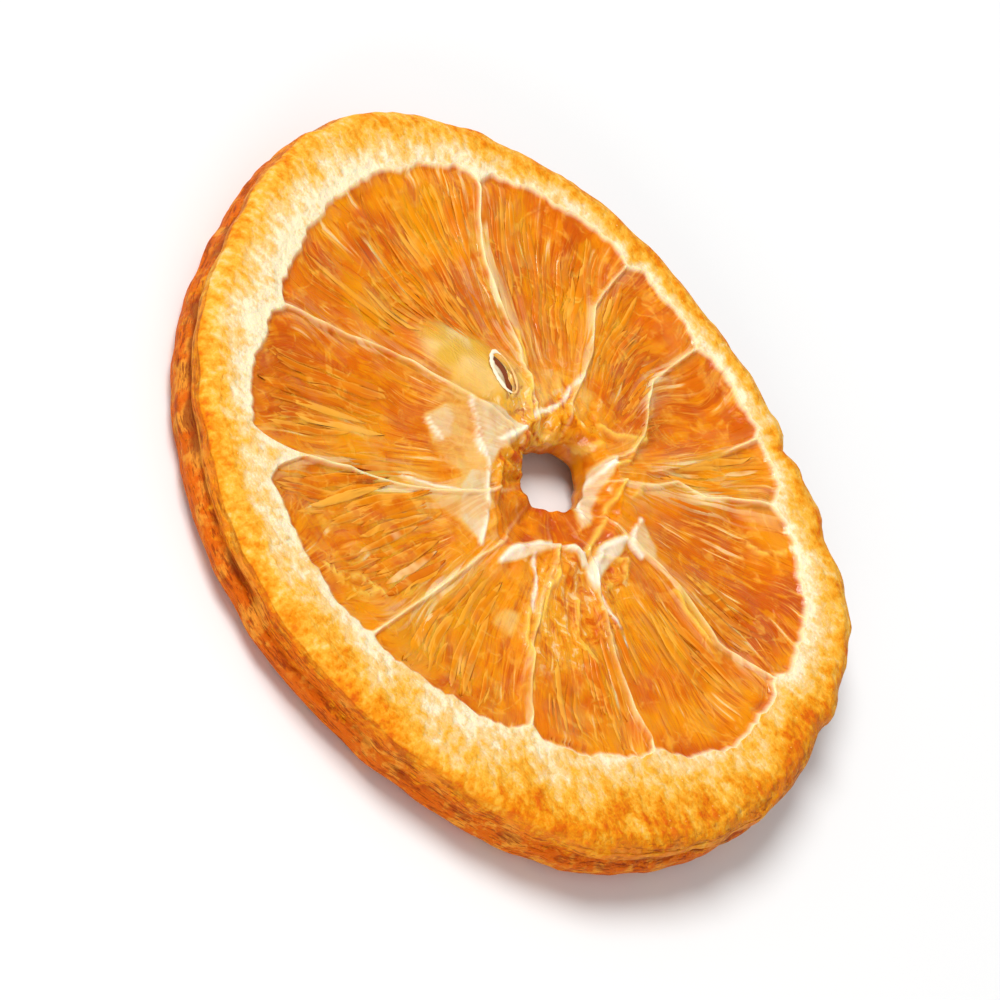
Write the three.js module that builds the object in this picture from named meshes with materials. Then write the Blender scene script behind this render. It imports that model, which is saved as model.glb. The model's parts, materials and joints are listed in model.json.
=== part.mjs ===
// Dried orange slice: one round cut across the fruit and dried. The rind shrinks into a creased band,
// the pith stays a little proud of the flesh, the skins between the segments stand up as thin ridges,
// and the soft core has torn out and left a hole right through.
// Millimetres. +Z is up, off the surface the slice lies on; the photographed side faces up.
import * as THREE from "three";

// ---- Sizes that drive the form ----
const RIM_HEIGHT = 6.6; // cut face to cut face, at the rind
const FLESH_TOP = 5.35; // the flesh has sunk this far down on the upper side
const FLESH_UNDER = 1.15; // and this far up from the surface on the under side
const PITH_LIP_DROP = 0.28; // the pith's inner edge lies this far below the rim
const FLESH_SAG = 0.45; // hollow in the middle of each segment
const SKIN_RISE = 0.75; // ridge height of the skin between two segments, at the pith
const SKIN_RISE_CORE = 0.3; // and beside the core
const SKIN_HALF_WIDTH = 0.62; // half the width of such a ridge at its foot
const CORE_TOP = 3.5; // height of the torn edge of the core hole, upper side
const CORE_UNDER = 1.7; // and on the under side
const CORE_CENTRE = [2.0, 5.2]; // middle of the core hole, from the middle of the slice
const RIND_BULGE = 0.5; // how far the rind's side swells past its cut edge
const RIND_CREASE = 0.6; // depth of the uneven groove that runs round the rind's side
const RIND_CREASE_HEIGHT = 3.7; // height of that groove
const RIND_TUCK = 1.0; // how far the side turns in at the bottom
const FLAT_IN = 1.9; // the flat ring it rests on starts this far in from the rind's cut edge
const BLISTER_CENTRE = [-9.6, 3.9]; // dried film lifted into a blister beside the core
const BLISTER_HALF = [7.2, 3.7]; // half its length and half its width
const BLISTER_TURN = 26; // direction of its length, degrees from +X
const BLISTER_RISE = 1.3; // how far it stands up
const NOTCH = { at: 66.5, half: 2.6, deep: 0.9 }; // nick in the cut edge of the rind

// Distance from the middle of the slice to the rind's outline, by angle from +X in degrees.
const OUTLINE = [
  [0, 36.1], [15, 35.6], [36, 36.1], [52, 34.2], [62, 33.1], [90, 32.4], [108, 33.4], [132, 34.2],
  [160, 35.6], [175, 34.7], [195, 33.3], [225, 33.7], [262, 34.5], [295, 34.8], [322, 36.2], [345, 36.4],
];

// Width of the pale band of rind and pith, from the outline in to the flesh, before the corners.
const BAND = [
  [0, 6.2], [30, 5.5], [48, 5.0], [65, 3.5], [110, 3.7], [140, 4.3], [160, 6.0], [190, 6.0],
  [212, 6.2], [228, 5.0], [250, 5.9], [275, 6.4], [300, 8.0], [328, 9.1], [345, 8.3],
];

// The skins between the segments, from the pith in towards the core. A corner is the pith's point at
// the skin's outer end: how far in it reaches, and half its spread in degrees. A skin with a short
// reach dies out that share of the way in.
const SKINS = [
  { path: [[28.2, 9.8], [22, 7.0], [17, 7.6], [14, 7.3], [10.4, 6.4]], corner: [0.8, 4], reach: 1 },
  { path: [[16.3, 23.9], [12.9, 19.6], [11.6, 17.2], [9.0, 15.6], [7.4, 11.8]], corner: [1.8, 5], reach: 1 },
  { path: [[10.4, 27.6], [9.6, 23.6], [8.2, 19.0], [6.2, 13.0]], corner: [0.6, 3], reach: 0.25 },
  { path: [[0.8, 28.9], [0.7, 21.0], [2.2, 18.6], [3.9, 16.0], [4.4, 12.4]], corner: [0.9, 4], reach: 1 },
  { path: [[-8.8, 28.0], [-7.5, 21.0], [-4.6, 17.2], [-3.3, 14.4], [-1.8, 10.6]], corner: [1.1, 4], reach: 1 },
  { path: [[-21.9, 18.0], [-16.6, 13.2], [-12, 11.2], [-8.5, 10.0], [-3.4, 6.6]], corner: [1.4, 5], reach: 1 },
  { path: [[-24.0, -11.6], [-18.1, -6.6], [-13.2, -2.2], [-8.6, 0.4], [-3.4, 3.2]], corner: [0.8, 5], reach: 1 },
  { path: [[-12.4, -20.8], [-9, -16.4], [-6, -13.6], [-3, -9.4], [-0.4, -4.4]], corner: [4.6, 6], reach: 1 },
  { path: [[3.2, -27.6], [3.4, -21.4], [3.6, -15.2], [3.6, -10.0], [3.8, -6.8]], corner: [0.7, 4], reach: 1 },
  { path: [[18.2, -19.4], [15, -15.4], [12, -11.4], [9.4, -6.8], [7.6, -2.4]], corner: [1.6, 8], reach: 1 },
  { path: [[26.2, -8.4], [17.6, -4.4], [13.8, -2.0], [10.4, 0.4]], corner: [0.9, 6], reach: 1 },
];

// Reach of the core hole and of the hollow round it, from the hole's middle.
const CORE_HOLE = [[0, 3.2], [45, 4.0], [90, 4.5], [135, 3.9], [180, 3.2], [225, 3.7], [270, 4.0], [315, 3.9]];
const CORE_HOLLOW = [
  [0, 6.7], [45, 6.2], [90, 6.0], [135, 5.2], [180, 4.8], [222, 6.2], [250, 8.0], [270, 10.8],
  [282, 12.0], [303, 9.3], [330, 7.4],
];

const COLUMN_STEP = 3.7; // degrees between columns inside a segment
const HOLLOW_RINGS = [0, 0.4, 0.75, 1];
const FLESH_RINGS = [0.1, 0.24, 0.4, 0.56, 0.72, 0.87];
const STEP_FOOT = 0.5; // the flesh ends this far short of the pith's edge, at the foot of the step
const UNDER_RINGS = [0.2, 0.45, 0.7, 0.93];
const PITH_RINGS = [0, 0.3, 0.62, 0.88];

// ---- Small helpers ----
const rad = (d) => (d * Math.PI) / 180;
const deg = (r) => (r * 180) / Math.PI;
const turn = (d) => ((d % 360) + 360) % 360;
const clamp = (v, a, b) => Math.min(b, Math.max(a, v));
const mix = (a, b, t) => a + (b - a) * t;
const ease = (t) => { const u = clamp(t, 0, 1); return u * u * (3 - 2 * u); };
const between = (a, b) => { const d = turn(a - b); return d > 180 ? d - 360 : d; };

// A smooth closed curve through [angle, value] pairs.
function around(list, angle) {
  const a = turn(angle), n = list.length;
  let i = n - 1;
  while (i > 0 && list[i][0] > a) i--;
  const at = (k) => list[((k % n) + n) % n][1];
  const end = i + 1 < n ? list[i + 1][0] : list[0][0] + 360;
  const t = (a - list[i][0]) / (end - list[i][0]);
  const [p, q, r, s] = [at(i - 1), at(i), at(i + 1), at(i + 2)];
  return q + 0.5 * t * (r - p + t * (2 * p - 5 * q + 4 * r - s + t * (3 * (q - r) + s - p)));
}

// A few waves of fixed phase, for shapes that are uneven but come out the same each time.
const waves = (angle, parts) => parts.reduce((s, [n, size, phase]) => s + size * Math.sin(n * rad(angle) + phase), 0);

// The angle, seen from the core, of a skin's path at a given distance from the core.
function pathOf(points) {
  const polar = points.map(([x, y]) => {
    const dx = x - CORE_CENTRE[0], dy = y - CORE_CENTRE[1];
    return [Math.hypot(dx, dy), deg(Math.atan2(dy, dx))];
  }).sort((a, b) => a[0] - b[0]);
  for (let i = 1; i < polar.length; i++) polar[i][1] = polar[i - 1][1] + between(polar[i][1], polar[i - 1][1]);
  return (r) => {
    if (r <= polar[0][0]) return polar[0][1];
    for (let i = 1; i < polar.length; i++) {
      if (r <= polar[i][0]) return mix(polar[i - 1][1], polar[i][1], (r - polar[i - 1][0]) / (polar[i][0] - polar[i - 1][0]));
    }
    return polar[polar.length - 1][1];
  };
}

// ---- Outlines seen from above ----
const skins = SKINS.map((s) => ({
  ...s,
  angleAt: pathOf(s.path),
  at: turn(deg(Math.atan2(s.path[0][1], s.path[0][0]))),
}));

// The cut edge is more ragged from +X round to +Y than elsewhere.
const ragged = (a) => 0.6 + 1.3 * ease(1 - Math.abs(between(a, 40)) / 60);
const rimWave = (a) => ragged(a) * waves(a, [[19, 0.09, 0.4], [31, 0.1, 2.1], [43, 0.09, 4.2]]);

function outline(angle) {
  const nick = Math.max(0, 1 - Math.abs(between(angle, NOTCH.at)) / NOTCH.half);
  return around(OUTLINE, angle) - RIND_BULGE + rimWave(angle) - NOTCH.deep * nick;
}

function fleshEnd(angle) {
  let r = around(OUTLINE, angle) - around(BAND, angle);
  for (const s of skins) {
    const t = 1 - Math.abs(between(angle, s.at)) / s.corner[1];
    if (t > 0) r -= s.corner[0] * t * t;
  }
  return r + waves(angle, [[31, 0.12, 1.0], [44, 0.1, 3.3]]);
}

// How far it is from the core, in one direction, to a closed curve drawn about the slice's middle.
function reach(angle, curve) {
  const [ux, uy] = [Math.cos(rad(angle)), Math.sin(rad(angle))];
  let lo = 5, hi = 60;
  for (let i = 0; i < 34; i++) {
    const m = (lo + hi) / 2, x = CORE_CENTRE[0] + m * ux, y = CORE_CENTRE[1] + m * uy;
    if (Math.hypot(x, y) > curve(deg(Math.atan2(y, x)))) hi = m; else lo = m;
  }
  return (lo + hi) / 2;
}

const holeAt = (a) => around(CORE_HOLE, a);
const hollowAt = (a) => around(CORE_HOLLOW, a);
const fleshAt = (a) => reach(a, fleshEnd);
const rimAt = (a) => reach(a, outline);

// ---- Columns: each skin has one along its crest and one at each foot; the rest fill the segments ----
const columns = [];
const sorted = [...skins].sort((a, b) => turn(a.angleAt(25)) - turn(b.angleAt(25)));
sorted.forEach((skin, k) => {
  const next = sorted[(k + 1) % sorted.length];
  const span = turn(next.angleAt(25) - skin.angleAt(25));
  const inner = Math.max(2, Math.round(span / COLUMN_STEP) - 2);
  const spanAt = (r) => turn(next.angleAt(r) - skin.angleAt(r) + 90) - 90;
  const footAt = (r) => Math.min(deg(SKIN_HALF_WIDTH / r), Math.max(0.5, spanAt(r) * 0.2));
  columns.push({ skin, crest: 1, place: 0, angleAt: (r) => skin.angleAt(r) });
  for (let i = 0; i <= inner + 1; i++) {
    const v = i / (inner + 1), u = mix(v, 0.5 - 0.5 * Math.cos(Math.PI * v), 0.6); // closer by the skins
    columns.push({
      skin, crest: 0, place: u,
      angleAt: (r) => skin.angleAt(r) + footAt(r) + (spanAt(r) - 2 * footAt(r)) * u,
    });
  }
});

// The column's angle and distance where it meets a ring.
function meet(column, ring) {
  let r = 15, a = column.angleAt(r);
  for (let i = 0; i < 8; i++) { r = ring(a); a = column.angleAt(r); }
  return [a, ring(a)];
}

// ---- Heights ----
const rimTop = (a) => RIM_HEIGHT - 0.14 + waves(a, [[2, 0.06, 0.8], [5, 0.05, 2.0], [9, 0.03, 1.0]]);

function blister(x, y) {
  const [c, s] = [Math.cos(rad(BLISTER_TURN)), Math.sin(rad(BLISTER_TURN))];
  const dx = x - BLISTER_CENTRE[0], dy = y - BLISTER_CENTRE[1];
  const d = Math.hypot((dx * c + dy * s) / BLISTER_HALF[0], (dy * c - dx * s) / BLISTER_HALF[1]);
  return BLISTER_RISE * ease(1.25 - d);
}

const vertices = [];
const rings = [];
const place = (a, r, z) => {
  vertices.push([CORE_CENTRE[0] + r * Math.cos(rad(a)), CORE_CENTRE[1] + r * Math.sin(rad(a)), z]);
  return vertices.length - 1;
};
const addRing = (ring, height) => rings.push(columns.map((column) => {
  const [a, r] = meet(column, ring);
  const x = CORE_CENTRE[0] + r * Math.cos(rad(a)), y = CORE_CENTRE[1] + r * Math.sin(rad(a));
  return place(a, r, height(column, a, r, x, y));
}));

// Ridge of a skin: full height at the pith, lower by the core, nothing past its reach.
function ridge(column, f) {
  if (!column.crest) return 0;
  const kept = column.skin.reach < 1 ? ease((f - (1 - column.skin.reach)) / (0.5 * column.skin.reach)) : 1;
  return kept * mix(SKIN_RISE_CORE, SKIN_RISE, f);
}
const sag = (column, f) => (column.crest ? 0 : FLESH_SAG * Math.sin(Math.PI * column.place) * Math.sin(Math.PI * clamp(f, 0, 1)));

// Upper side, from the core hole out.
for (const t of HOLLOW_RINGS) {
  addRing((a) => mix(holeAt(a), hollowAt(a), t), (c, a, r, x, y) =>
    mix(CORE_TOP, FLESH_TOP, t * (1.6 - 0.6 * t)) + ridge(c, 0) * t * t + blister(x, y) * t + waves(a, [[5, 0.16, 0.5], [8, 0.1, 2.2]]) * (1 - 0.6 * t));
}
for (const t of FLESH_RINGS) {
  addRing((a) => mix(hollowAt(a), fleshAt(a), t), (c, a, r, x, y) =>
    FLESH_TOP + ridge(c, t) - sag(c, t) + blister(x, y) + waves(a, [[7, 0.06, 1.5]]));
}
addRing((a) => fleshAt(a) - STEP_FOOT, (c, a) => FLESH_TOP + ridge(c, 1) + waves(a, [[7, 0.06, 1.5]]));
for (const t of PITH_RINGS) {
  addRing((a) => mix(fleshAt(a), rimAt(a), t), (c, a) => rimTop(a) - PITH_LIP_DROP * (1 - t) * (1 - t) + waves(a + 40 * t, [[17, 0.04, 1.0]]) * t);
}

// Side of the rind, down from its cut edge: how far out, and how high as a share of the rim.
const swell = (a) => 1 + waves(a, [[3, 0.18, 0.5], [11, 0.16, 2.6], [19, 0.12, 1.1]]);
const crease = (a) => clamp(0.8 + waves(a, [[3, 0.45, 2.2], [7, 0.25, 0.3], [13, 0.2, 1.3]]), 0.1, 1.7);
const SIDE = [
  [0, 0.95, 0], [0.75, 0.87, 0], [1, 0.76, 0], [0.95, 0.655, 0.35], [0.75, RIND_CREASE_HEIGHT / RIM_HEIGHT, 1],
  [0.95, 0.46, 0.3], [1, 0.33, 0], [0.55, 0.2, 0], [-0.35, 0.09, 0],
];
for (const [out, high, fold] of SIDE) {
  addRing((a) => rimAt(a) + out * RIND_BULGE * swell(a) - fold * RIND_CREASE * crease(a) - (out < 0 ? 0.4 * RIND_TUCK : 0), (c, a) =>
    high * (rimTop(a) + 0.14) + (fold ? waves(a, [[2, 0.4, 1.2], [5, 0.25, 0.2]]) * (0.4 + 0.6 * fold) : 0));
}

// Under side: the flat ring it rests on, then the sunk flesh, back to the hole.
addRing((a) => rimAt(a) - FLAT_IN, () => 0);
addRing((a) => mix(fleshAt(a), rimAt(a) - FLAT_IN, 0.4), () => 0);
addRing((a) => fleshAt(a) + 0.1, () => PITH_LIP_DROP);
for (const t of [...UNDER_RINGS].reverse()) {
  addRing((a) => mix(hollowAt(a), fleshAt(a), t), (c, a) => FLESH_UNDER - 0.85 * ridge(c, t) + 0.6 * sag(c, t) - 0.25 * ease((t - 0.7) / 0.3));
}
addRing(hollowAt, (c) => FLESH_UNDER + 0.1 - 0.8 * ridge(c, 0));
addRing((a) => mix(holeAt(a), hollowAt(a), 0.4), () => mix(FLESH_UNDER, CORE_UNDER, 0.6));
addRing((a) => holeAt(a) + 0.05, () => CORE_UNDER);

// ---- One closed skin of triangles: ring to ring, and the last ring back to the first ----
const triangles = [];
const apart = (i, j) => Math.hypot(...vertices[i].map((v, k) => v - vertices[j][k]));
for (let i = 0; i < rings.length; i++) {
  const inner = rings[i], outer = rings[(i + 1) % rings.length];
  for (let j = 0; j < columns.length; j++) {
    const k = (j + 1) % columns.length;
    const [a, b, c, d] = [inner[j], outer[j], outer[k], inner[k]];
    if (apart(a, c) < apart(b, d)) triangles.push(a, b, c, a, c, d);
    else triangles.push(a, b, d, b, c, d);
  }
}

// The part's origin is the middle of its footprint, on the surface it lies on.
const middle = [0, 1].map((k) => (Math.max(...vertices.map((v) => v[k])) + Math.min(...vertices.map((v) => v[k]))) / 2);
const placed = vertices.flatMap(([x, y, z]) => [x - middle[0], y - middle[1], z]);

const geometry = new THREE.BufferGeometry();
geometry.setAttribute("position", new THREE.Float32BufferAttribute(placed, 3));
geometry.setIndex(triangles);
geometry.computeVertexNormals();

const slice = new THREE.Mesh(
  geometry,
  new THREE.MeshStandardMaterial({ color: 0xe08a1e, roughness: 0.45, metalness: 0 }),
);
slice.name = "dried_orange_slice";

const group = new THREE.Group();
group.name = "dried_orange_slice_part";
group.add(slice);

export default group;
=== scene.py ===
# %% [markdown]
# # A dried orange slice
# One round is cut across an orange and dried for hours in warm air. The flesh loses its water and
# sinks into glassy amber skins, the white pith dries pale and leathery, and the rind outside shrinks
# into a creased, dark orange band. This lesson dresses the plain solid of that slice: it builds one
# finely shaped body, adds what lies on it, and gives each part its finish.

# %% Load the frame
import json
import math

import bmesh
import bpy
import numpy as np
from mathutils import Matrix, Vector
from mathutils.bvhtree import BVHTree

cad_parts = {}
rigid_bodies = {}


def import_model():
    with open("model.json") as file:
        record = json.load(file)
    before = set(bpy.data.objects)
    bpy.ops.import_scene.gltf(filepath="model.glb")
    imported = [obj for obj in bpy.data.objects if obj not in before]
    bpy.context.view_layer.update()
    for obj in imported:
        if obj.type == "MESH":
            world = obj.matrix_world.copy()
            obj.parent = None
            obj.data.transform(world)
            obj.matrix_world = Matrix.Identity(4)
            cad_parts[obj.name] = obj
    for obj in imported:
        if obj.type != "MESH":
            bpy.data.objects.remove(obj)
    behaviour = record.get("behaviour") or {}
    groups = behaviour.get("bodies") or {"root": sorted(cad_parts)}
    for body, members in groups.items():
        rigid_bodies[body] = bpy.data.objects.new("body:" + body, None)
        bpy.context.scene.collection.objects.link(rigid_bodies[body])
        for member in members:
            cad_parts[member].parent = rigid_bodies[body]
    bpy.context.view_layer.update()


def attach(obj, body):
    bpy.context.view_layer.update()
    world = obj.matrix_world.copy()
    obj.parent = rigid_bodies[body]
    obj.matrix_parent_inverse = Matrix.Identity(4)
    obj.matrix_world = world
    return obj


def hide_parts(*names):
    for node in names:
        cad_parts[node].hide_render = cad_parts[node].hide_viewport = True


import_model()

MM = 0.001

# %% [markdown]
# ## Sizes
# These are the slice's own sizes in millimetres, the same ones its solid is made from. Lists go round
# the slice by angle, in degrees from +X, so the outline is a short list of distances and not a cloud
# of points. The slice lies flat with +Z up.

# %% Sizes of the slice
RIM_HEIGHT = 6.6
RIM_WAVER = 0.14
FLESH_TOP = 5.35
FLESH_UNDER = 1.15
PITH_LIP_DROP = 0.28
FLESH_SAG = 0.45
SKIN_RISE = 0.55
SKIN_RISE_CORE = 0.25
SKIN_HALF_WIDTH = 0.34
CORE_TOP = 3.5
CORE_UNDER = 1.7
CORE_CENTRE = (2.0, 5.2)
RIND_BULGE = 0.5
RIND_CREASE = 0.6
RIND_CREASE_HEIGHT = 3.7
FACE_IN = 1.5
FLAT_IN = 1.9
BLISTER_CENTRE = (-9.6, 3.9)
BLISTER_HALF = (7.2, 3.7)
BLISTER_TURN = 26
BLISTER_RISE = 1.3
NOTCH_AT, NOTCH_HALF, NOTCH_DEEP = 66.5, 2.6, 0.9
VIEW_ELEVATION = 42.2
SOFT_TOP = 0.35
BODY_TOP = RIM_HEIGHT + 0.06
GROWN_TOP = RIM_HEIGHT + 0.15
UPPER_FROM = 3.3

OUTLINE = [
    (0, 36.1), (15, 35.6), (36, 36.1), (52, 34.2), (62, 33.1), (90, 32.4), (108, 33.4), (132, 34.2),
    (160, 35.6), (175, 34.7), (195, 33.3), (225, 33.7), (262, 34.5), (295, 34.8), (322, 36.2), (345, 36.4),
]
BAND = [
    (0, 6.2), (30, 5.5), (48, 5.0), (65, 3.5), (110, 3.7), (140, 4.3), (160, 6.0), (190, 6.0),
    (212, 6.2), (228, 5.0), (250, 5.9), (275, 6.4), (300, 8.0), (328, 9.1), (345, 8.3),
]
CORE_HOLE = [(0, 3.2), (45, 4.0), (90, 4.5), (135, 3.9), (180, 3.2), (225, 3.7), (270, 4.0), (315, 3.9)]
CORE_HOLLOW = [
    (0, 6.7), (45, 6.2), (90, 6.0), (135, 5.2), (180, 4.8), (222, 6.2), (250, 8.0), (270, 10.8),
    (282, 12.0), (303, 9.3), (330, 7.4),
]

# Each skin: its course from the pith to the core, how far the pith's corner reaches in at its end,
# half that corner's spread in degrees, the share of its length that still stands up, and how pale
# it has dried.
SKINS = [
    ([(28.2, 9.8), (22, 7.0), (17, 7.6), (14, 7.3), (10.4, 6.4)], 0.8, 4, 1, 0.6),
    ([(16.3, 23.9), (12.9, 19.6), (11.6, 17.2), (9.0, 15.6), (7.4, 11.8)], 1.8, 5, 1, 0.9),
    ([(10.4, 27.6), (9.6, 23.6), (8.2, 19.0), (6.2, 13.0)], 0.6, 3, 0.25, 0.7),
    ([(0.8, 28.9), (0.7, 21.0), (2.2, 18.6), (3.9, 16.0), (4.4, 12.4)], 0.9, 4, 1, 0.6),
    ([(-8.8, 28.0), (-7.5, 21.0), (-4.6, 17.2), (-3.3, 14.4), (-1.8, 10.6)], 1.1, 4, 1, 0.5),
    ([(-21.9, 18.0), (-16.6, 13.2), (-12, 11.2), (-8.5, 10.0), (-3.4, 6.6)], 1.4, 5, 1, 0.9),
    ([(-24.0, -11.6), (-18.1, -6.6), (-13.2, -2.2), (-8.6, 0.4), (-3.4, 3.2)], 0.8, 5, 1, 0.6),
    ([(-12.4, -20.8), (-9, -16.4), (-6, -13.6), (-3, -9.4), (-0.4, -4.4)], 4.6, 6, 1, 1.0),
    ([(3.2, -27.6), (3.4, -21.4), (3.6, -15.2), (3.6, -10.0), (3.8, -6.8)], 0.7, 4, 1, 0.7),
    ([(18.2, -19.4), (15, -15.4), (12, -11.4), (9.4, -6.8), (7.6, -2.4)], 1.6, 8, 1, 0.35),
    ([(26.2, -8.4), (17.6, -4.4), (13.8, -2.0), (10.4, 0.4)], 0.9, 6, 1, 0.35),
]
print(len(SKINS), "skins between the segments")

# %% [markdown]
# ## Smooth curves and fixed noise
# A few sizes at a few angles say enough, because a smooth closed curve can be drawn through them.
# Unevenness comes from waves of fixed phase and from a small noise made of a lattice of fixed random
# numbers, so the slice comes out the same each time the script runs.

# %% Curves, waves and noise
def mix(a, b, t):
    return a + (b - a) * t


def held_down(z, top):
    """Heights pressed softly under a top, in millimetres, so that nothing leaves the slice's box."""
    start = top - SOFT_TOP
    return np.where(z > start, start + SOFT_TOP * np.tanh((z - start) / SOFT_TOP), z)


def ease(t):
    t = np.clip(t, 0.0, 1.0)
    return t * t * (3.0 - 2.0 * t)


def between(a, b):
    """How many degrees a lies past b, from -180 to 180."""
    return np.mod(a - b + 180.0, 360.0) - 180.0


def facing(angle, middle, spread, start=1.5):
    """1 towards one angle, fading to 0 with the degrees from it."""
    return ease(start - np.abs(between(angle, middle)) / spread)


def spline(p, q, r, s, t):
    """A smooth curve from q to r, which p and s on their outer sides bend."""
    return q + 0.5 * t * (r - p + t * (2 * p - 5 * q + 4 * r - s + t * (3 * (q - r) + s - p)))


def around(pairs, angle):
    """A smooth closed curve through (angle, size) pairs."""
    at = np.array([p[0] for p in pairs], float)
    size = np.array([p[1] for p in pairs], float)
    count = len(at)
    a = np.mod(angle, 360.0)
    i = np.searchsorted(at, a, side="right") - 1
    end = np.where(i + 1 < count, at[(i + 1) % count], at[0] + 360.0)
    t = (a - at[i]) / (end - at[i])
    return spline(*(size[(i + k) % count] for k in (-1, 0, 1, 2)), t)


def waves(angle, parts):
    """The sum of waves, each (how many round the slice, height, phase)."""
    return sum(size * np.sin(count * np.radians(angle) + phase) for count, size, phase in parts)


LATTICE_SIDE = 32
LATTICE = np.random.RandomState(7).uniform(-1.0, 1.0, (LATTICE_SIDE, LATTICE_SIDE, LATTICE_SIDE))


def noise(x, y, z):
    """Smooth noise from -1 to 1, with bumps about one unit apart."""
    x, y, z = np.broadcast_arrays(x, y, z)
    low = [np.floor(v).astype(int) for v in (x, y, z)]
    part = [ease(v - c) for v, c in zip((x, y, z), low)]
    total = np.zeros(x.shape)
    for corner in range(8):
        step = [corner >> k & 1 for k in range(3)]
        weight = 1.0
        for k in range(3):
            weight = weight * (part[k] if step[k] else 1.0 - part[k])
        i, j, k = ((low[k] + step[k]) % LATTICE_SIDE for k in range(3))
        total = total + weight * LATTICE[i, j, k]
    return total


def bumps(x, y, size, layer):
    """Noise over the plan with bumps of one size; each layer is another pattern."""
    return noise(x / size, y / size, layer)


def round_noise(angle, fine, third, shift_x=0.0, shift_y=0.0):
    """Noise that closes on itself round the slice; third moves it on across the slice."""
    turned = np.radians(angle)
    return noise(np.cos(turned) * fine + shift_x, np.sin(turned) * fine + shift_y, third)


print("noise lattice", LATTICE.shape)

# %% [markdown]
# ## The slice seen from above
# The outline and the end of the flesh are drawn about the slice's middle, but the mesh is laid out
# about the core, because every skin runs in to it. So each curve is turned into a distance from the
# core once, in steps of a tenth of a degree, and looked up after that. The hole is a little squarer
# here than in the plain solid, as torn cores are.

# %% Outline, flesh and core
skin_at = [math.degrees(math.atan2(skin[0][0][1], skin[0][0][0])) for skin in SKINS]


def outline(angle):
    nick = np.maximum(0.0, 1.0 - np.abs(between(angle, NOTCH_AT)) / NOTCH_HALF)
    torn = 0.6 + 1.3 * facing(angle, 40.0, 60.0, 1.0)
    rough = waves(angle, [(19, 0.09, 0.4), (31, 0.1, 2.1), (43, 0.09, 4.2)])
    return around(OUTLINE, angle) - RIND_BULGE + torn * rough - NOTCH_DEEP * nick


def flesh_end(angle):
    r = around(OUTLINE, angle) - around(BAND, angle)
    for at, skin in zip(skin_at, SKINS):
        t = np.maximum(0.0, 1.0 - np.abs(between(angle, at)) / skin[2])
        r = r - skin[1] * t * t
    return r + waves(angle, [(31, 0.12, 1.0), (44, 0.1, 3.3), (97, 0.08, 0.7), (131, 0.07, 2.0)])


NEAREST, FARTHEST, HALVINGS = 5.0, 60.0, 30


def reach(angle, curve):
    """Distance from the core to a curve that is drawn about the slice's middle, found by halving."""
    ux, uy = np.cos(np.radians(angle)), np.sin(np.radians(angle))
    low, high = np.full_like(angle, NEAREST), np.full_like(angle, FARTHEST)
    for _ in range(HALVINGS):
        half = (low + high) / 2
        x, y = CORE_CENTRE[0] + half * ux, CORE_CENTRE[1] + half * uy
        past = np.hypot(x, y) > curve(np.degrees(np.arctan2(y, x)))
        low, high = np.where(past, low, half), np.where(past, half, high)
    return (low + high) / 2


every_angle = np.arange(0.0, 360.0, 0.1)
tables = {
    "hole": around(CORE_HOLE, every_angle) + waves(every_angle, [(4, 0.3, 1.4), (13, 0.08, 0.5)]) - 0.2,
    "hollow": around(CORE_HOLLOW, every_angle),
    "flesh": reach(every_angle, flesh_end),
    "rim": reach(every_angle, outline),
}


def table(name, angle):
    closed = np.append(tables[name], tables[name][0])
    return np.interp(np.mod(angle, 360.0), np.append(every_angle, 360.0), closed)


for name, values in tables.items():
    print(f"{name}: {values.min():.1f} to {values.max():.1f} mm from the core")

# %% [markdown]
# ## Columns that follow the skins
# A dried skin is a crisp thin ridge. A square grid would step across it, so the mesh is a fan whose
# columns run along the skins: a few across each ridge, the rest spread through the segments and
# closer together beside the skins. Every column bends with the skins on its two sides.

# %% Columns of the fan
def skin_course(path):
    """The distances from the core along a skin, and its angle at each of them."""
    x = np.array([p[0] for p in path]) - CORE_CENTRE[0]
    y = np.array([p[1] for p in path]) - CORE_CENTRE[1]
    r, a = np.hypot(x, y), np.degrees(np.arctan2(y, x))
    order = np.argsort(r)
    return r[order], np.degrees(np.unwrap(np.radians(a[order])))


courses = [skin_course(skin[0]) for skin in SKINS]
MID_FLESH = 25.0
order = sorted(range(len(SKINS)), key=lambda k: np.interp(MID_FLESH, *courses[k]) % 360.0)
SEGMENT_STEP = 0.79
RIDGE_OFFSETS = (-0.85, -0.5, -0.2, 0.0, 0.2, 0.5, 0.85)

columns = []
for place, k in enumerate(order):
    before, after = order[place - 1], order[(place + 1) % len(order)]
    span = (np.interp(MID_FLESH, *courses[after]) - np.interp(MID_FLESH, *courses[k])) % 360.0
    columns += [(before, k, after, 1.0, offset) for offset in RIDGE_OFFSETS]
    steps = max(6, round(span / SEGMENT_STEP) - len(RIDGE_OFFSETS) // 2)
    for i in range(steps + 1):
        v = i / steps
        columns.append((before, k, after, 0.0, mix(v, 0.5 - 0.5 * math.cos(math.pi * v), 0.5)))
col_before, col_skin, col_next, on_ridge, col_place = (np.array(values) for values in zip(*columns))
on_ridge = on_ridge > 0.5
print(len(columns), "columns")


def skin_angles(which, r):
    angle = np.zeros_like(r)
    for k, course in enumerate(courses):
        angle = np.where(which == k, np.interp(r, *course), angle)
    return angle


def column_angles(r):
    here, there = skin_angles(col_skin, r), skin_angles(col_next, r)
    span = np.mod(there - here + 90.0, 360.0) - 90.0
    span_before = np.mod(here - skin_angles(col_before, r) + 90.0, 360.0) - 90.0
    own_side = np.where(on_ridge & (col_place < 0), span_before, span)
    foot = np.minimum(np.degrees(SKIN_HALF_WIDTH / r), np.maximum(0.5, own_side * 0.2))
    return here + np.where(on_ridge, foot * col_place, foot + (span - 2 * foot) * col_place)


CROSSING_START, CROSSING_STEPS = 15.0, 24


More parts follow.
